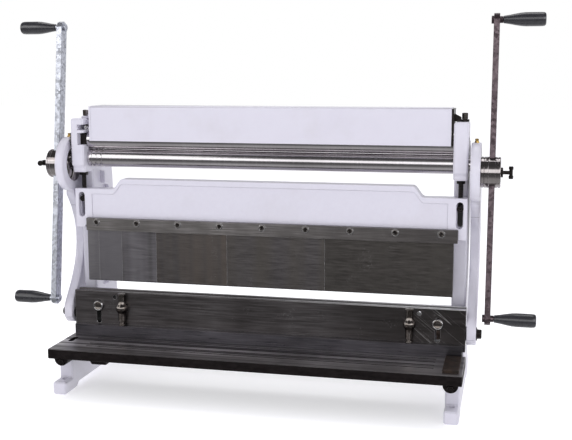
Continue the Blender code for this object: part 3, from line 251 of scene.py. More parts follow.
# %% [markdown]
# ## Steel and iron
# Each metal starts from the tool that made its face. A grinder or planer leaves straight lines, a
# lathe leaves rings. The lines are far finer than a pixel here (0.1 to 0.3 mm), so they are drawn
# about ten times coarser to show as the real ones do. Clouds of oil and handling lie over them,
# edges are rubbed bright and scatter light in every direction, and the plates carry scratches.

# %% Metals with straight or ringed tool marks
def metal(name, grain_mm, colours, roughness, relief_mm, cloud_mm, cloud_colour, cloud_share,
          edge_mm=0.4, edge_colour=None, offset=0.0, metallic=1.0, marks=(), fade=None,
          painted_highlight_lip=None, deep=None):
    """Machined metal: grain along one axis, clouds over it, rubbed edges that scatter, scratches.

    A fade (from x, to x, colour, share) tones one end; a lip (from z, from x, to x, colour) is a
    painted highlight along an upper edge, growing along x; what lies deep (behind y, below z,
    colour) is painted shade, dark as the inside of a slot."""
    material, tree, shader, place = new_finish(name, {"Metallic": metallic})
    rounded, edge = eased_edge(tree, edge_mm)
    lines = grain(tree, place, grain_mm, 4.0, offset)
    fine = add_node(tree, "ShaderNodeMapRange", {"Value": lines, "From Min": 0.3,
                                                 "From Max": 0.7}).outputs["Result"]
    cloud = add_node(tree, "ShaderNodeMapRange",
                     {"Value": grain(tree, place, cloud_mm, 2.0, offset + 5.0), "From Min": 0.36,
                      "From Max": 0.66, "To Max": cloud_share}).outputs["Result"]
    layers = [(fine, colours[1]), (cloud, cloud_colour)]
    parts = add_node(tree, "ShaderNodeSeparateXYZ", {"Vector": place})
    if fade:
        reach = add_node(tree, "ShaderNodeMapRange",
                         {"Value": parts.outputs["X"], "From Min": fade[0], "From Max": fade[1],
                          "To Max": fade[3]}, interpolation_type="SMOOTHSTEP").outputs["Result"]
        layers.append((reach, fade[2]))
    for cell_mm, thin, turn_degrees, share_from, strength, tone, from_x in marks:
        turn = (0.0, math.radians(turn_degrees), 0.0)
        marked = scratch_lines(tree, place, cell_mm, thin, turn, share_from, offset + 11.0)
        beyond = add_node(tree, "ShaderNodeMapRange",
                          {"Value": parts.outputs["X"], "From Min": from_x,
                           "From Max": from_x + 0.05, "To Max": strength}).outputs["Result"]
        faint = add_node(tree, "ShaderNodeMath", {0: marked, 1: beyond}, operation="MULTIPLY")
        layers.append((faint.outputs["Value"], tone))
    if edge_colour:
        layers.append((edge, edge_colour))
        scattering = add_node(tree, "ShaderNodeMapRange",
                              {"Value": edge, "To Min": metallic, "To Max": metallic * 0.4})
        tree.links.new(scattering.outputs["Result"], shader.inputs["Metallic"])
    # The lip is a painted highlight: a bright line along the upper edge, growing towards the right.
    if painted_highlight_lip:
        above = add_node(tree, "ShaderNodeMapRange",
                         {"Value": parts.outputs["Z"], "From Min": painted_highlight_lip[0],
                          "From Max": painted_highlight_lip[0] + 0.0004}).outputs["Result"]
        along = add_node(tree, "ShaderNodeMapRange", {"Value": parts.outputs["X"],
                                                      "From Min": painted_highlight_lip[1], "From Max": painted_highlight_lip[2]})
        share = add_node(tree, "ShaderNodeMath", {0: above, 1: along.outputs["Result"]},
                         operation="MULTIPLY").outputs["Value"]
        layers.append((share, painted_highlight_lip[3]))
    # What lies deep, behind the face and below the top, is painted shade: the slots' insides drawn
    # near-black.
    if deep:
        behind = add_node(tree, "ShaderNodeMath", {0: parts.outputs["Y"], 1: deep[0]},
                          operation="GREATER_THAN").outputs["Value"]
        below = add_node(tree, "ShaderNodeMath", {0: parts.outputs["Z"], 1: deep[1]},
                         operation="LESS_THAN").outputs["Value"]
        painted_slot_shade = add_node(tree, "ShaderNodeMath", {0: behind, 1: below}, operation="MULTIPLY")
        layers.append((painted_slot_shade.outputs["Value"], deep[2]))
    connect(tree, shader, colours[0], layers, roughness, fine, lines, relief_mm / 1000.0, rounded)
    return material


curls = ((7, 7, 7), 0.010, 0.0, 0.58, 0.50, "#C9C6C8", -1.0)
fine_hairs = ((90, 90, 1.2), 0.020, 3.0, 0.54, 0.16, "#BDB9BB", -1.0)
slant_scores = ((300, 90, 7.0), 0.008, 40.0, 0.36, 0.9, "#E9E7E7", 0.28)
bar_steel = metal("surface_ground_steel_bar", (60, 3, 1.6), ("#7C7876", "#ACA8A8"), (0.34, 0.48),
                  0.03, (70, 90, 120), "#6A6767", 0.6, 0.5, "#B9B5B5",
                  marks=(curls, fine_hairs), fade=(-0.1, 0.35, "#5C5858", 0.7))
turned_steel = metal("turned_and_polished_steel", (2.2, 300, 300), ("#CFCBCE", "#DBD7DB"),
                     (0.14, 0.20), 0.001, (160, 60, 60), "#ABA6AA", 0.5, 0.3)
hub_steel = metal("turned_and_burnished_steel", (0.9, 300, 300), ("#AAA5A6", "#BFBABC"),
                  (0.05, 0.10), 0.003, (60, 60, 60), "#9F9895", 0.5, 0.2)
# On the apron the lip is a painted highlight along its top edge, and what lies deep is painted
# shade inside its slots.
apron_iron = metal("planed_and_oiled_apron_iron", (70, 3, 2.2), ("#615D5D", "#817D7F"),
                   (0.28, 0.42), 0.05, (110, 300, 500), "#4B4747", 0.5, 1.2, "#C4C1C2",
                   marks=(slant_scores, curls), fade=(0.10, 0.24, "#454140", 0.65),
                   painted_highlight_lip=(0.1876, 0.0, 0.40, "#F2F1F3"), deep=(-0.0485, 0.184, "#171413"))
blade_steel = metal("ground_blade_steel", (60, 2, 2), ("#565459", "#79767D"), (0.26, 0.4),
                    0.03, (110, 110, 110), "#464448", 0.6, 0.3, "#A9A6AB", marks=(fine_hairs,))
black_oxide = metal("black_oxide_steel", (4, 4, 4), ("#1C1918", "#2F2B2B"), (0.26, 0.40),
                    0.02, (20, 20, 20), "#3E3938", 0.4, 0.4, "#625D5D", metallic=0.8)
zinc_plate = metal("bright_zinc_plated_steel", (3, 3, 3), ("#C9C8CA", "#DDDCDE"), (0.18, 0.26),
                   0.01, (15, 15, 15), "#B0AEAE", 0.4, 0.3, "#EAEAEB")
plunger_steel = metal("turned_and_handled_steel", (8, 8, 0.9), ("#6F6A67", "#9C9692"),
                      (0.09, 0.18), 0.02, (9, 9, 14), "#5A4F48", 0.7, 0.3, "#D2CECB")
gauge_iron = metal("rusted_black_bar", (6, 6, 3), ("#211D1B", "#36302D"), (0.5, 0.7), 0.15,
                   (18, 18, 18), "#523F33", 0.6, 0.5, "#6B5B50", metallic=0.6)
brass = metal("turned_brass", (3, 3, 1), ("#C9A35A", "#E2C37C"), (0.24, 0.34), 0.01,
              (8, 8, 8), "#9C7F48", 0.4, 0.2)
bronze = metal("sintered_bearing_bronze", (2, 2, 2), ("#A5783E", "#BC8E50"), (0.35, 0.45), 0.01,
               (9, 9, 9), "#7F5A2E", 0.4, 0.3)
finger_steels = [
    metal(f"ground_finger_steel_{number + 1}", (30, 3, 1.8), colours, (0.28, 0.40), 0.02,
          (42, 75, 900), cloud, 0.85, 0.9, "#C3C0C3", marks=(curls, fine_hairs), offset=offset)
    for number, (colours, cloud, offset) in enumerate((
        (("#87848A", "#9C999E"), "#B0ADB2", 0.0), (("#87848A", "#9E9BA0"), "#9A979D", 0.0),
        (("#6C696C", "#827F82"), "#B3AFB7", 0.4), (("#696566", "#7C797A"), "#8A7F77", 0.9),
        (("#6F6B6D", "#827E80"), "#7A7571", 1.7), (("#605C5A", "#736F6D"), "#6E6A67", 2.3)))
]
print("metals:", len([m for m in bpy.data.materials if "steel" in m.name]), "steels")

# %% [markdown]
# ## The bed's two faces
# The bed is planed on top and left as cast in front, under black paint that has gone dull. One
# material does both: where the surface turns away from upwards the rough dark skin takes over from
# the planed one, as it does at the real casting's edge. The top is drawn paler towards the right
# end.
# The planer's rows are drawn 15 mm wide, far coarser than its feed, so that they show from here.

# %% Planed top, rough front
bed_iron, tree, shader, place = new_finish("planed_top_cast_front_bed_iron", {"Metallic": 0.9})
rounded, edge = eased_edge(tree, 0.8)
planing = grain(tree, place, (1600, 15, 30), 2.0)
patches = grain(tree, place, (110, 70, 60), 4.0, 3.0)
skin = grain(tree, place, (16, 8, 7), 5.0, 1.0)
rows_seen = add_node(tree, "ShaderNodeMapRange", {"Value": planing, "From Min": 0.40,
                                                  "From Max": 0.66}).outputs["Result"]
oiled = add_node(tree, "ShaderNodeMapRange", {"Value": patches, "From Min": 0.40,
                                              "From Max": 0.65, "To Max": 0.6}).outputs["Result"]
along = add_node(tree, "ShaderNodeSeparateXYZ", {"Vector": place}).outputs["X"]
# Towards the right end the top is drawn paler.
paler_right_end = add_node(tree, "ShaderNodeMapRange", {"Value": along, "From Min": 0.10, "From Max": 0.36,
                                                "To Max": 0.45}).outputs["Result"]
cast = add_node(tree, "ShaderNodeMixRGB", {"Fac": skin, "Color1": linear("#040303"),
                                           "Color2": linear("#393334")}).outputs["Color"]
side = add_node(tree, "ShaderNodeSeparateXYZ",
                {"Vector": add_node(tree, "ShaderNodeNewGeometry").outputs["True Normal"]})
front = add_node(tree, "ShaderNodeMapRange", {"Value": side.outputs["Z"], "From Min": 0.8,
                                              "From Max": 0.5}).outputs["Result"]
rub = add_node(tree, "ShaderNodeMath", {0: edge, 1: patches}, operation="MULTIPLY")
layers = [(rows_seen, "#C9C5C7"), (oiled, "#4A4647"), (paler_right_end, "#B4B0B1"), (front, cast),
          (rub.outputs["Value"], "#8C8889")]
uneven = add_node(tree, "ShaderNodeMixRGB", {"Fac": front, "Color1": planing, "Color2": skin})
depth = add_node(tree, "ShaderNodeMapRange", {"Value": front, "To Min": 0.00006,
                                              "To Max": 0.0006}).outputs["Result"]
connect(tree, shader, "#3F3B3C", layers, (0.36, 0.58), front, uneven.outputs["Color"], depth,
        rounded)
print(bed_iron.name)

# %% [markdown]
# ## Galvanised bar
# The crank arms are flat bar, dipped in zinc. The zinc freezes in spangles a few millimetres wide,
# each with its own tone, so Voronoi cells carry the tone and a noise dulls them. The left arm is
# bright; the right one is drawn a dark brownish grey.

# %% Zinc spangles on the crank arms
spangle_mm = 5.0


def zinc_dip(name, pale, dull):
    """Voronoi cells of spangle_mm, toned by cell and by a streaky noise."""
    material, tree, shader, place = new_finish(name, {"Metallic": 0.9})
    rounded = eased_edge(tree, 0.6)[0]
    cells = add_node(tree, "ShaderNodeTexVoronoi",
                     {"Vector": place, "Scale": 1000.0 / spangle_mm, "Randomness": 1.0})
    tone = add_node(tree, "ShaderNodeSeparateColor", {"Color": cells.outputs["Color"]})
    streak = grain(tree, place, (14, 14, 30), 6.0)
    mottle = add_node(tree, "ShaderNodeMath", {0: tone.outputs["Red"], 1: streak},
                      operation="MULTIPLY").outputs["Value"]
    spread = add_node(tree, "ShaderNodeMapRange", {"Value": mottle, "From Min": 0.05,
                                                   "From Max": 0.55}).outputs["Result"]
    connect(tree, shader, pale, [(spread, dull)], (0.3, 0.6), mottle, streak, 0.0003, rounded)
    return material


galvanised = zinc_dip("hot_dip_galvanised_steel", "#C9CCD6", "#96989F")
# The right arm's zinc is the same spangle, drawn darker and browner.
darker_right_arm_zinc = zinc_dip("darker_galvanised_steel", "#6C6065", "#463C40")
print(galvanised.name, "with spangles of", spangle_mm, "mm")

# %% [markdown]
# ## Moulded phenolic
# The grips are black phenolic, moulded and then tumbled: deep black with a sharp, slightly wavy
# gloss and a fine skin of scratches.

# %% Grips' plastic
phenolic, tree, shader, place = new_finish(
    "moulded_black_phenolic", {"Metallic": 0.0, "IOR": 1.6, "Coat Weight": 0.4,
                               "Coat Roughness": 0.1})
waves = grain(tree, place, (6, 6, 6), 5.0)
connect(tree, shader, "#1F1F22", [(waves, "#39393F")], (0.20, 0.38), waves, waves, 0.00004)
print(phenolic.name)

# %% [markdown]
# ## Dress the solids
# A solid whose shape is right keeps its own mesh and only changes its material.

# %% Give each solid its finish
finish_of_slot = {
    "white_enamel": casting_enamel, "oiled_cast_iron": bed_iron, "ground_steel": bar_steel,
    "black_oxide_steel": black_oxide, "turned_steel": turned_steel, "bearing_bronze": bronze,
    "galvanised_steel": galvanised, "black_plastic": phenolic,
}
finish_of_node = {
    "roll_guard": sheet_enamel, "apron": apron_iron, "side_gauge": gauge_iron,
    "lower_blade": blade_steel, "upper_blade": blade_steel, "right_crank_arm": darker_right_arm_zinc,
    "left_guard_bracket": sheet_enamel, "rear_tie_bar": gauge_iron,
}
finish_of_node.update({f"finger_{n + 1}": steel for n, steel in enumerate(finger_steels)})
for name, solid in nodes.items():
    given = solid.data.materials[0].name.split(".")[0]
    solid.data.materials[0] = finish_of_node.get(name, finish_of_slot[given])
print("dressed", len(nodes), "solids")

# %% [markdown]
# ## Turned skins
# Rolls, grips, plungers and bolts are all bodies of revolution. A profile of (place, radius) points
# is carried round its axis, and a ripple may change the radius by angle, which turns the same
# surface into a hexagon, a knurl, a socket or a thread.

# %% A profile carried round an axis
axis_turns = {
    "X": np.array([[0, 0, 1], [1, 0, 0], [0, 1, 0]], float),
    "Y": np.array([[0, 1, 0], [0, 0, 1], [1, 0, 0]], float),
    "Z": np.array([[1, 0, 0], [0, 1, 0], [0, 0, 1]], float),
}


def revolve(name, profile, axis, centre, material, body, steps=48, ripple=None, crease=32.0,
            ring=False):
    """Point (s, a) = centre + s along the axis + r (cos a, sin a), where r = ripple(s, radius, a).

    A ring joins the last place of its profile to the first, and so has a hole along the axis."""
    profile = np.array(profile, float)
    angles = np.linspace(0.0, 2 * np.pi, steps, endpoint=False)
    along = np.repeat(profile[:, :1], steps, axis=1)
    radius = np.repeat(profile[:, 1:2], steps, axis=1)
    around = np.repeat(angles[None, :], len(profile), axis=0)
    if ripple:
        radius = ripple(along, radius, around)
    local = np.stack([radius * np.cos(around), radius * np.sin(around), along], axis=-1)
    points = local.reshape(-1, 3) @ axis_turns[axis].T + np.array(centre, float)
    rows = len(profile) if ring else len(profile) - 1
    row, column = np.meshgrid(np.arange(rows), np.arange(steps), indexing="ij")
    beside, above = (column + 1) % steps, (row + 1) % len(profile)
    quads = np.stack([row * steps + column, row * steps + beside,
                      above * steps + beside, above * steps + column], axis=-1)
    return piece_of(name, points, quads.reshape(-1, 4), material, body, crease)


def piece_of(name, points, faces, material, body, crease):
    """Put arrays of points and faces into a closed, outward mesh that rides on a body."""
    data = bpy.data.meshes.new(name)
    data.from_pydata(points.tolist(), [], faces.tolist())
    return closed_piece(name, data, material, body, crease)


def closed_piece(name, data, material, body, crease, thinnest=0.0):
    """Merge a mesh's points, turn its faces out, smooth it up to a crease and let it ride.

    Triangles thinner than thinnest are dissolved, because they would shade badly."""
    mesh = bmesh.new()
    mesh.from_mesh(data)
    bmesh.ops.remove_doubles(mesh, verts=mesh.verts, dist=1e-6)
    if thinnest:
        bmesh.ops.dissolve_degenerate(mesh, edges=mesh.edges, dist=thinnest)
    bmesh.ops.recalc_face_normals(mesh, faces=mesh.faces)
    mesh.to_mesh(data)
    mesh.free()
    data.polygons.foreach_set("use_smooth", np.ones(len(data.polygons), bool))
    data.set_sharp_from_angle(angle=math.radians(crease))
    data.materials.append(material)
    thing = placed(name, data)
    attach(thing, body)
    return thing


def hexagon(low, high, flat):
    """Between two places along the axis the radius is flat / cos(angle from the nearest flat)."""
    def ripple(along, radius, around):
        inside = (along > low) & (along < high) & (radius > 0)
        nearest = (around + np.pi / 6) % (np.pi / 3) - np.pi / 6
        return np.where(inside, np.minimum(flat / np.cos(nearest), radius), radius)
    return ripple


def threaded(low, high, pitch, depth):
    """The radius falls by depth x the triangle wave of (place / pitch - angle / one turn)."""
    def ripple(along, radius, around):
        wave = np.abs((along / pitch - around / (2 * np.pi)) % 1.0 - 0.5) * 2
        return np.where((along > low) & (along < high), radius - depth * wave, radius)
    return ripple


def knurled(low, high, teeth, depth):
    """The radius falls by depth x (1 - cos(teeth x angle)) / 2 between two places."""
    def ripple(along, radius, around):
        wave = (1 - np.cos(teeth * around)) / 2
        return np.where((along > low) & (along < high), radius - depth * wave, radius)
    return ripple


def both(first, second):
    """One ripple after another."""
    def ripple(along, radius, around):
        return second(along, first(along, radius, around), around)
    return ripple


print("turned skins can be plain, hexagonal, knurled or threaded")

# %% [markdown]
# ## Smooth copies of curved solids
# The CAD's curves are made of flats, which would catch the light one by one. The bowed connecting
# rods and the hubs are copied from their solids, their loose triangles are merged, and every edge
# flatter than 30 degrees is shaded smooth. They keep their shape. The guard's left end doesn't: the
# sheet stops short of the left adjusting screw, which stands free beside it, so its end and the
# bracket's plate are drawn 9 mm inwards and the bracket's ear grows longer.

# %% Rods, hubs and the guard's shorter end
copy_crease, copy_thinnest = 30.0, 1e-7
guard_end_x, guard_pull = -0.3765, 0.009


def points_of(data):
    """A mesh's points as rows of x, y and z."""
    points = np.empty(len(data.vertices) * 3)
    data.vertices.foreach_get("co", points)
    return points.reshape(-1, 3)


def smooth_copy(name, material, body, pull=0.0):
    """A smoothed copy of a solid; x moves by pull where guard_end_x < x < 0."""
    data = nodes[name].data.copy()
    data.name = f"{name}_skin"
    data.materials.clear()
    points = points_of(data)
    points[:, 0] += pull * ((points[:, 0] > guard_end_x) & (points[:, 0] < 0.0))
    data.vertices.foreach_set("co", points.ravel())
    thing = closed_piece(data.name, data, material, body, copy_crease, copy_thinnest)
    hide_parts(name)


for side in ("left", "right"):
    smooth_copy(f"{side}_connecting_rod", casting_enamel, f"{side}_rod")
    smooth_copy(f"{side}_eccentric_hub", hub_steel, "crank")
for name in ("roll_guard", "left_guard_bracket"):
    smooth_copy(name, sheet_enamel, "frame", guard_pull)
print("rods, hubs, guard and its left bracket copied")

# %% [markdown]
# ## The three rolls
# The rolls are turned and polished bar. Near the left end the lower and rear rolls have three round
# grooves, where a sheet's wired edge runs through. In the CAD model a roll has few flats; here it
# has 192, so that the long highlight along it stays one clean band.

# %% Rolls with their wire grooves
roll_radius = 0.0185
roll_half = 0.3765
groove_sizes = ((-0.3670, 0.0030), (-0.3570, 0.0040), (-0.3455, 0.0050))
groove_depth = 0.0013
chamfer = 0.0006
roll_steps = 192


def roll_profile(left_end, right_end, journal, grooves):
    """Journal, shoulder, grooved body, shoulder, journal; depth = groove_depth sin(pi share)."""
    line = [(left_end, 0.0), (left_end, journal - chamfer), (left_end + chamfer, journal),
            (-roll_half, journal), (-roll_half, roll_radius - chamfer),
            (-roll_half + chamfer, roll_radius)]
    for middle, width in grooves:
        share = np.linspace(0.0, 1.0, 9)
        places = middle + (share - 0.5) * width
        depths = roll_radius - groove_depth * np.sin(np.pi * share)
        line += list(zip(places.tolist(), depths.tolist()))
    line += [(x, roll_radius) for x in np.linspace(-0.33, 0.37, 8).tolist()]
    return line + [(roll_half - chamfer, roll_radius), (roll_half, roll_radius - chamfer),
                   (roll_half, journal), (right_end - chamfer, journal),
                   (right_end, journal - chamfer), (right_end, 0.0)]


for name, journal, body, grooves in (("lower_roll", 0.0125, "crank", groove_sizes),
                                     ("upper_roll", 0.0080, "upper_roll", ()),
                                     ("rear_roll", 0.0080, "rear_roll", groove_sizes)):
    low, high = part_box(name)
    centre = (0.0, (low.y + high.y) / 2, (low.z + high.z) / 2)
    skin = revolve(f"{name}_skin", roll_profile(low.x, high.x, journal, grooves), "X", centre,
                   turned_steel, body, roll_steps)
    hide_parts(name)
    print(name, "axis at", [round(v, 4) for v in centre])

# %% [markdown]
# ## Grips
# Each grip is a moulded handle that turns on its stud: a slim neck at the arm, a long swell and a
# rounded end.

# %% Moulded grips
grip_length = 0.079
grip_line = ((0.0, 0.0060), (0.0008, 0.0072), (0.004, 0.0076), (0.012, 0.0088), (0.022, 0.0108),
             (0.033, 0.0126), (0.042, 0.0133), (0.070, 0.0133), (0.0755, 0.0128), (0.078, 0.0112),
             (grip_length, 0.0085), (grip_length, 0.0))
for side, sign in (("left", -1), ("right", 1)):
    for end in ("top", "bottom"):
        name = f"{side}_{end}_grip"
        low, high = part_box(name)
        start = low.x if sign > 0 else high.x
        line = [(start, 0.0)] + [(start + sign * s, r) for s, r in grip_line]
        centre = (0.0, (low.y + high.y) / 2, (low.z + high.z) / 2)
        skin = revolve(f"{name}_skin", line, "X", centre, phenolic, name)
        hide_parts(name)
print("four grips,", grip_length, "m long")

# %% [markdown]
# ## Socket screws of the clamp bar
# Nine cap screws hold the clamp bar against the fingers. Each shows a bright cut ring round its
# counterbore, a dark head that stands a little proud, and a six-sided socket whose depth is a black
# disc of painted shade.

# %% Nine socket heads
screw_pitch, screw_z, screw_count = 0.0893, 0.3353, 9
screw_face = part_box("clamp_bar")[0].y
for number in range(screw_count):
    middle = ((number - (screw_count - 1) / 2) * screw_pitch, 0.0, screw_z)
    ring_line = [(screw_face + s, r) for s, r in (
        (0.0014, 0.0061), (0.0006, 0.0061), (0.0006, 0.0074), (0.0014, 0.0079))]
    revolve(f"clamp_counterbore_{number + 1}", ring_line, "Y", middle, zinc_plate, "beam", 28,
            ring=True)
    head_line = [(screw_face + s, r) for s, r in (
        (0.0010, 0.0060), (0.0004, 0.0061), (-0.0001, 0.0060), (-0.0006, 0.0053),
        (-0.0006, 0.0036), (-0.0001, 0.0034), (0.0004, 0.0034))]
    revolve(f"clamp_screw_{number + 1}", head_line, "Y", middle, plunger_steel, "beam", 30,
            hexagon(screw_face - 0.00055, screw_face + 0.0003, 0.0030), ring=True)
    # The socket's depth is a black disc in the head's hexagonal hole: painted shade.
    socket_shade_line = [(screw_face + s, r) for s, r in (
        (0.0003, 0.0), (0.0003, 0.0036), (-0.0001, 0.0036), (-0.0001, 0.0))]
    revolve(f"clamp_socket_{number + 1}", socket_shade_line, "Y", middle, black_oxide, "beam", 12)
print(screw_count, "socket heads")

# %% [markdown]
# ## Screws and bolts
# A CAD fastener is a plain stepped cylinder. Its skin keeps the same steps and adds what the eye
# looks for: a chamfered hexagon or a knurl on the head, and a real helical thread on the shank. One
# profile function serves them all, running from the head's face to the shank's tip.

# %% A screw's profile
def screw_line(face, under, tip, head, shank, ease=0.0006, pitch=0.0, socket=0.0, deep=0.0):
    """From the head's face to the tip; a threaded shank gets eight rows to each pitch."""
    way = 1.0 if tip > face else -1.0
    line = [(face, 0.0)]
    if socket:
        line = [(face + way * deep, 0.0), (face + way * deep, socket), (face, socket)]
    line += [(face, head - ease), (face + way * ease, head), (under - way * ease, head),
             (under, head - ease), (under, shank)]
    if pitch:
        count = int(abs(tip - under) / pitch * 8)
        places = np.linspace(under + way * ease, tip - way * ease, count)
        line += [(place, shank) for place in places.tolist()]
    return line + [(tip - way * ease, shank), (tip, shank - ease), (tip, 0.0)]


def axis_point(name, axis):
    """The middle of a node's box, with nothing along the axis that its profile runs on."""
    low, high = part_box(name)
    return [0.0 if letter == axis else (low[i] + high[i]) / 2 for i, letter in enumerate("XYZ")]


def skin_of(name, line, axis, material, body, ripple=None, steps=48):
    """A turned skin on a node's own axis, which stands for that node."""
    skin = revolve(f"{name}_skin", line, axis, axis_point(name, axis), material, body, steps,
                   ripple)
    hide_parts(name)


print("screw profiles ready")

# %% [markdown]
# ## Screws that press the rolls and lift the beam
# The adjusting screw of the upper roll is turned by a small knurled head and locked by a bright
# nut; the rear roll's is a larger knurled knob. Black hexagon screws under the housings carry the
# upper beam's height.

# %% Roll, rear and jack screws
nut_low, nut_high, nut_ease = 0.5277, 0.5345, 0.0006
for side in ("left", "right"):
    name = f"{side}_roll_screw"
    low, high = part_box(name)
    line = screw_line(high.z, high.z - 0.012, low.z, 0.0058, 0.0040, 0.0007, 0.00125, 0.0026,
                      0.004)
    skin_of(name, line, "Z", plunger_steel, name,
            both(knurled(high.z - 0.0112, high.z - 0.0008, 22, 0.0006),
                 threaded(low.z, high.z - 0.0122, 0.00125, 0.0006)), 88)
    nut_line = ((nut_low, 0.0039), (nut_low, 0.0062), (nut_low + nut_ease, 0.0068),
                (nut_high - nut_ease, 0.0068), (nut_high, 0.0062), (nut_high, 0.0039))
    revolve(f"{side}_roll_lock_nut", nut_line, "Z", axis_point(name, "Z"), zinc_plate, name, 48,
            hexagon(nut_low - 0.0001, nut_high + 0.0001, 0.0059), ring=True)
    name = f"{side}_rear_screw"
    low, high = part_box(name)
    line = screw_line(high.z, high.z - 0.018, low.z, 0.0090, 0.0050, 0.0010, 0.0015)
    skin_of(name, line, "Z", black_oxide, name,
            both(knurled(high.z - 0.0168, high.z - 0.0012, 26, 0.0007),
                 threaded(low.z, high.z - 0.0182, 0.0015, 0.0007)), 104)
    name = f"{side}_jack_screw"
    low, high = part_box(name)
    line = screw_line(high.z, high.z - 0.0071, low.z, 0.0090, 0.0050, 0.0009, 0.0015)
    skin_of(name, line, "Z", black_oxide, name,
            both(hexagon(high.z - 0.0070, high.z - 0.0001, 0.0080),
                 threaded(low.z, high.z - 0.0072, 0.0015, 0.0007)), 60)
print("six adjusting screws and two lock nuts")

# %% [markdown]
# ## Bolts of the beam, the apron's guides and the rods
# The beam hangs on a socket cap screw in each end slot. The guide bolts of the apron have wide
# polished heads whose turned rim catches the light round a darker face. Black hexagon bolts with
# washers hold the rods' lower ends.

# %% Beam, guide, bed and pivot bolts
for side, sign in (("left", -1.0), ("right", 1.0)):
    name = f"{side}_beam_bolt"
    low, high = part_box(name)
    skin_of(name, screw_line(low.y, low.y + 0.007, high.y, 0.0063, 0.0050, 0.0006, 0.0,
                             0.0029, 0.0035), "Y", black_oxide, "frame",
            both(hexagon(low.y + 0.00005, low.y + 0.0036, 0.0025),
                 knurled(low.y + 0.0009, low.y + 0.0062, 30, 0.0003)), 60)
    name = f"{side}_guide_bolt"
    low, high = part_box(name)
    guide_line = [(low.y + s, r) for s, r in (
        (0.0006, 0.0), (0.0006, 0.0060), (0.0002, 0.0068), (0.0000, 0.0074), (0.0004, 0.0090),
        (0.0013, 0.0102), (0.0026, 0.0108), (0.0060, 0.0108), (0.0060, 0.0050),
        (0.0622, 0.0050), (0.0627, 0.0045), (0.0630, 0.0))]
    skin_of(name, guide_line, "Y", plunger_steel, "frame", steps=64)
    rim_line = [(low.y + s, r) for s, r in (
        (0.0006, 0.0088), (0.0001, 0.0086), (-0.0001, 0.0092), (0.0004, 0.0101),
        (0.0014, 0.0107), (0.0028, 0.0111), (0.0050, 0.0111), (0.0050, 0.0100))]
    revolve(f"{side}_guide_bolt_rim", rim_line, "Y", axis_point(name, "Y"), zinc_plate, "frame",
            64, ring=True)
    name = f"{side}_bed_bolt"
    low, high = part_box(name)
    skin_of(name, screw_line(low.y, low.y + 0.0037, high.y, 0.0065, 0.0040, 0.0005), "Y",
            black_oxide, "frame", hexagon(low.y + 0.0001, low.y + 0.0036, 0.0057), 48)
    name = f"{side}_pivot_bolt"
    low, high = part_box(name)
    outer, inner = (low.x, high.x) if sign < 0 else (high.x, low.x)
    under = outer - sign * 0.0085
    bolt_line = [(outer, 0.0), (outer, 0.0080), (outer - sign * 0.0012, 0.0095), (under, 0.0095),
                 (under, 0.0126), (under - sign * 0.0004, 0.0130),
                 (under - sign * 0.0012, 0.0130), (under - sign * 0.0016, 0.0126),
                 (under - sign * 0.0016, 0.0060), (inner + sign * 0.0006, 0.0060),
                 (inner, 0.0054), (inner, 0.0)]
    skin_of(name, bolt_line, "X", black_oxide, f"{side}_rod",
            hexagon(min(outer, under) + 0.00005, max(outer, under) - 0.00005, 0.0083))
print("eight bolts")

# %% [markdown]
# ## Sprung plungers
# Two bottle-shaped plungers on the apron press the sheet down before the shear's blade meets it.
# They are turned: a small cap, a slim neck, a round belly and a straight sleeve, out of which a
# footed pin looks. The bright specks on the belly are what tells the eye that it is round.

# %% Plungers and their pins
sleeve_line = [(z / 1000, r / 1000) for z, r in (
    (158.0, 0.0), (158.0, 5.2), (129.4, 5.2), (129.0, 5.6), (129.0, 6.9), (129.6, 7.5),
    (138.0, 7.8), (146.6, 8.2), (149.0, 9.1), (151.0, 10.7), (153.2, 11.9), (155.6, 12.4),
    (158.0, 12.5), (160.4, 12.1), (162.6, 11.0), (164.4, 9.6), (166.4, 8.3), (169.0, 7.5),
    (173.0, 7.0), (180.0, 6.8), (184.2, 6.9), (184.8, 7.4), (185.2, 8.2), (186.0, 8.5),
    (187.4, 8.5), (188.1, 8.0), (188.5, 7.2), (188.5, 0.0))]
for side in ("left", "right"):
    skin_of(f"{side}_hold_down_sleeve", sleeve_line, "Z", plunger_steel, "apron",
            threaded(0.1735, 0.1842, 0.0013, 0.0003), 64)
    name = f"{side}_hold_down_pin"
    low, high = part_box(name)
    pin_line = [(low.z, 0.0), (low.z, 0.0068), (low.z + 0.0007, 0.0075), (low.z + 0.0030, 0.0075),
                (low.z + 0.0036, 0.0068), (low.z + 0.0036, 0.0050), (high.z - 0.0005, 0.0050),
                (high.z, 0.0045), (high.z, 0.0)]
    skin_of(name, pin_line, "Z", plunger_steel, f"{side}_hold_down")
print("two plungers of", len(sleeve_line), "places each")

# %% [markdown]
# ## Polished hubs
# The hubs are turned and polished, with a groove near each face. Two polished bands lie round each,
# and curved faces join them in front and behind, so that only the slot's mouths stay open. A band
# is a turned ring; a face can't be one, because a whole ring would close the mouths, so its section
# is swept only as far as they begin.

# %% Bands and faces on the hubs
hub_z, hub_y = 0.4550, -0.0200
hub_radius, hub_skin = 0.0296, 0.0003
slot_inner_x, slot_outer_x = 0.4430, 0.4552
outer_groove_x, hub_outer_x = 0.4597, 0.4651
arm_half_width, mouth_gap = 0.0125, 0.0010
face_wall, face_proud, face_lap, face_steps = 0.0012, 0.0001, 0.0004, 40


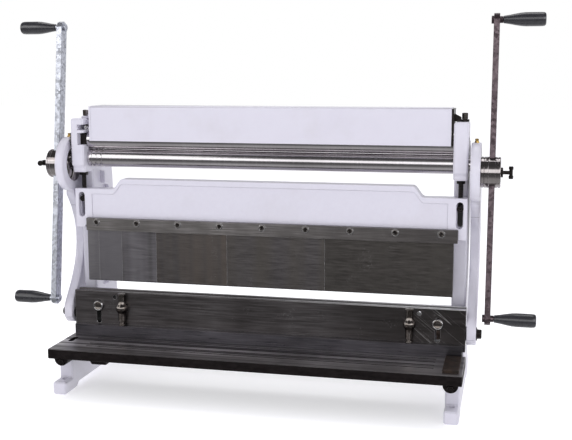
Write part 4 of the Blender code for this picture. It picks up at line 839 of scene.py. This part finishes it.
def hub_band(name, inner, outer, groove, sign):
    """A polished ring round the hub with one turned groove and eased ends."""
    top, wall = hub_radius + hub_skin, hub_radius - 0.0016
    line = [(inner, wall), (inner, top - 0.0005), (inner + 0.0005, top), (groove - 0.0011, top),
            (groove - 0.0009, top - 0.0009), (groove + 0.0009, top - 0.0009),
            (groove + 0.0011, top), (outer - 0.0014, top), (outer - 0.0005, top - 0.0005),
            (outer, top - 0.0014), (outer, wall)]
    revolve(name, [(sign * s, r) for s, r in line], "X", (0.0, hub_y, hub_z), hub_steel, "crank",
            96, ring=True)


for side, sign, flange in (("left", -1.0, 0.4325), ("right", 1.0, 0.4290)):
    hub_band(f"{side}_hub_inner_band", flange, slot_inner_x, flange + 0.0051, sign)
    hub_band(f"{side}_hub_outer_band", slot_outer_x, hub_outer_x, outer_groove_x, sign)


def hub_face(name, facing, half_turn, sign):
    """A curved plate: corner (across, reach) swept over turns t of facing +- half_turn.

    Point = (across, hub_y + reach cos t, hub_z + reach sin t)."""
    inner, outer = slot_inner_x - face_lap, slot_outer_x + face_lap
    turns = np.linspace(facing - half_turn, facing + half_turn, face_steps)[:, None]
    across = sign * np.array([inner, inner, outer, outer]) + 0.0 * turns
    reach = np.array([-face_wall, face_proud, face_proud, -face_wall]) + hub_radius
    points = np.stack([across, hub_y + reach * np.cos(turns), hub_z + reach * np.sin(turns)], -1)
    corner_now = np.arange(face_steps - 1)[:, None] * 4 + np.arange(4)
    corner_next = np.roll(corner_now, -1, axis=1)
    sides = np.stack([corner_now, corner_next, corner_next + 4, corner_now + 4], -1)
    ends = np.arange(4) + np.array([[0], [(face_steps - 1) * 4]])
    piece_of(name, points.reshape(-1, 3), np.vstack([sides.reshape(-1, 4), ends]), hub_steel,
             "crank", 32.0)


for side, sign in (("left", -1.0), ("right", 1.0)):
    arm = points_of(nodes[f"{side}_crank_arm"].data)
    tip = arm[arm[:, 2] > arm[:, 2].max() - 0.02].mean(axis=0)
    lean = math.atan2(hub_y - tip[1], tip[2] - hub_z)
    half_turn = math.pi / 2 - math.asin((arm_half_width + mouth_gap) / hub_radius)
    for place_word, facing in (("front", math.pi + lean), ("back", lean)):
        hub_face(f"{side}_hub_{place_word}_face", facing, half_turn, sign)
print("four polished bands and four faces; the arms lean", round(math.degrees(lean), 1), "degrees")

# %% [markdown]
# ## Tee screws and oilers
# A tee screw clamps each arm in its hub: a hexagonal collar, a round stem, and a loose bar across
# the end for the hand. The left one is thicker, stands further out and holds its bar level; the
# right one's bar is upright. The rods' big ends carry a small brass oiler, which drips onto the
# hub. All are turned profiles with a hexagon in them.

# %% Tee screws and oilers
# side, sign along X, how far it is drawn out, the loose bar's axis, radius of stem and of bar
for side, sign, drawn_out, bar_axis, stem, bar in (("left", -1.0, 0.0130, "Y", 0.0056, 0.0056),
                                                   ("right", 1.0, 0.0, "Z", 0.0036, 0.0044)):
    name = f"{side}_arm_screw"
    low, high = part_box(name)
    inner = high.x if sign < 0 else low.x
    outer = (low.x if sign < 0 else high.x) + sign * drawn_out
    collar = sign * hub_outer_x
    line = [(inner, 0.0), (inner, 0.0032), (inner + sign * 0.0005, 0.0036), (collar, 0.0036),
            (collar, 0.0089), (collar + sign * 0.0006, 0.0095),
            (collar + sign * 0.0039, 0.0095), (collar + sign * 0.0045, 0.0089),
            (collar + sign * 0.0045, stem), (outer - sign * 0.0060, stem),
            (outer - sign * 0.0060, 0.0)]
    skin = revolve(f"{name}_skin", line, "X", (0.0, hub_y, hub_z), black_oxide, name,
                   ripple=hexagon(-1.0, 1.0, 0.0086))
    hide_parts(name)
    bar_x = outer - sign * 0.0044
    middle = {"Y": (bar_x, 0.0, hub_z), "Z": (bar_x, hub_y, 0.0)}[bar_axis]
    at = {"Y": hub_y, "Z": hub_z}[bar_axis]
    bar_line = [(at + s, r) for s, r in (
        (-0.0120, 0.0), (-0.0120, bar - 0.0008), (-0.0112, bar), (-0.0062, bar),
        (-0.0056, bar - 0.0010), (0.0056, bar - 0.0010), (0.0062, bar), (0.0112, bar),
        (0.0120, bar - 0.0008), (0.0120, 0.0))]
    revolve(f"{name}_bar", bar_line, bar_axis, middle, black_oxide, name)
    oiler_line = [(z / 1000, r / 1000) for z, r in (
        (510.4, 0.0), (510.4, 4.9), (513.0, 4.9), (513.4, 4.2), (514.2, 4.1), (514.5, 3.2),
        (516.3, 3.2), (517.0, 3.8), (517.9, 3.8), (518.8, 3.1), (519.2, 1.6), (519.2, 0.0))]
    rod_low, rod_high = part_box(f"{side}_connecting_rod")
    revolve(f"{side}_rod_oiler", oiler_line, "Z", ((rod_low.x + rod_high.x) / 2, hub_y, 0.0),
            brass, f"{side}_rod", 36, hexagon(0.5103, 0.5131, 0.0044))
print("two tee screws, two oilers")

# %% [markdown]
# ## Studio
# A pale table, faintly lit from below as product tables are, keeps the ground white. Metal looks
# like what it mirrors: the room is dark overhead and below the horizon, with one band of light in
# front, so that flat plates stay dark and every cylinder gets one clean highlight. Painted faces
# are lit by a plain dome instead, which is why the world tells mirror rays from the others.

# %% Floor, world and lights
corner = 15.0
data = bpy.data.meshes.new("studio_floor")
data.from_pydata([(-corner, -corner, 0), (corner, -corner, 0), (corner, corner, 0),
                  (-corner, corner, 0)], [], [(0, 1, 2, 3)])
floor = placed("studio_floor", data)
paper, tree, shader, place = new_finish(
    "matt_white_table_lit_from_below",
    {"Roughness": 0.9, "Base Color": linear("#F0F0F2"), "Emission Color": linear("#FFFFFF"),
     "Emission Strength": 0.42})
data.materials.append(paper)
floor.visible_glossy = False

world = bpy.data.worlds.new("room_with_a_light_band")
world.use_nodes = True
bpy.context.scene.world = world
tree = world.node_tree
tree.nodes.clear()
direction = add_node(tree, "ShaderNodeTexCoord").outputs["Generated"]
parts = add_node(tree, "ShaderNodeSeparateXYZ", {"Vector": direction})
height = add_node(tree, "ShaderNodeMapRange", {"Value": parts.outputs["Z"], "From Min": -1.0,
                                               "From Max": 1.0}).outputs["Result"]
ahead = add_node(tree, "ShaderNodeValToRGB", {"Fac": height}).outputs["Color"]
stops = ahead.node.color_ramp.elements
stops.remove(stops[-1])
stops[0].color = (0.24, 0.24, 0.24, 1.0)
for ramp_place, grey in ((0.15, 0.22), (0.26, 0.08), (0.45, 0.05), (0.495, 0.09), (0.53, 0.84),
                         (0.69, 0.88), (0.76, 0.07), (0.90, 0.035), (1.0, 0.035)):
    stops.new(ramp_place).color = (grey, grey, grey, 1.0)
behind = add_node(tree, "ShaderNodeMapRange", {"Value": parts.outputs["Y"], "From Min": 0.0,
                                               "From Max": 0.35}).outputs["Result"]
lower = add_node(tree, "ShaderNodeMapRange", {"Value": parts.outputs["Z"], "From Min": 0.65,
                                              "From Max": 0.45}).outputs["Result"]
back = add_node(tree, "ShaderNodeMath", {0: behind, 1: lower}, operation="MULTIPLY")
mirrored = add_node(tree, "ShaderNodeMixRGB",
                    {"Fac": back.outputs["Value"], "Color1": ahead,
                     "Color2": (0.40, 0.40, 0.41, 1.0)}).outputs["Color"]
room = add_node(tree, "ShaderNodeBackground", {"Color": mirrored, "Strength": 2.0})
above = add_node(tree, "ShaderNodeMapRange", {"Value": parts.outputs["Z"], "To Min": 0.62,
                                              "To Max": 0.95}).outputs["Result"]
dome = add_node(tree, "ShaderNodeBackground", {"Color": linear("#FBFBFF"), "Strength": above})
seen = add_node(tree, "ShaderNodeBackground", {"Color": linear("#FFFFFF"), "Strength": 1.0})
ray = add_node(tree, "ShaderNodeLightPath")
lit = add_node(tree, "ShaderNodeMixShader", {"Fac": ray.outputs["Is Glossy Ray"],
                                             1: dome.outputs["Background"],
                                             2: room.outputs["Background"]})
mixed = add_node(tree, "ShaderNodeMixShader", {"Fac": ray.outputs["Is Camera Ray"],
                                               1: lit.outputs["Shader"],
                                               2: seen.outputs["Background"]})
add_node(tree, "ShaderNodeOutputWorld", {"Surface": mixed.outputs["Shader"]})


def soft_box(name, place, target, size, watts, colour):
    """A rectangular area light that faces its target."""
    light = bpy.data.lights.new(name, "AREA")
    light.shape = "RECTANGLE"
    light.size, light.size_y = size
    light.energy = watts
    light.color = linear(colour)[:3]
    thing = placed(name, light)
    aim = (Vector(target) - Vector(place)).to_track_quat("-Z", "Y")
    thing.matrix_world = Matrix.Translation(place) @ aim.to_matrix().to_4x4()


soft_box("key_box_left", (-1.6, -1.9, 1.9), (0, 0, 0.3), (1.4, 1.0), 6.0, "#FFFDFB")
soft_box("fill_box_right", (2.0, -1.6, 1.3), (0, 0, 0.3), (1.0, 1.4), 5.0, "#FBFBFF")
soft_box("top_box", (0.0, 0.6, 2.4), (0, 0, 0.2), (2.4, 1.0), 14.0, "#FFFFFF")
bpy.context.scene.view_settings.view_transform = "Standard"
print("studio ready")
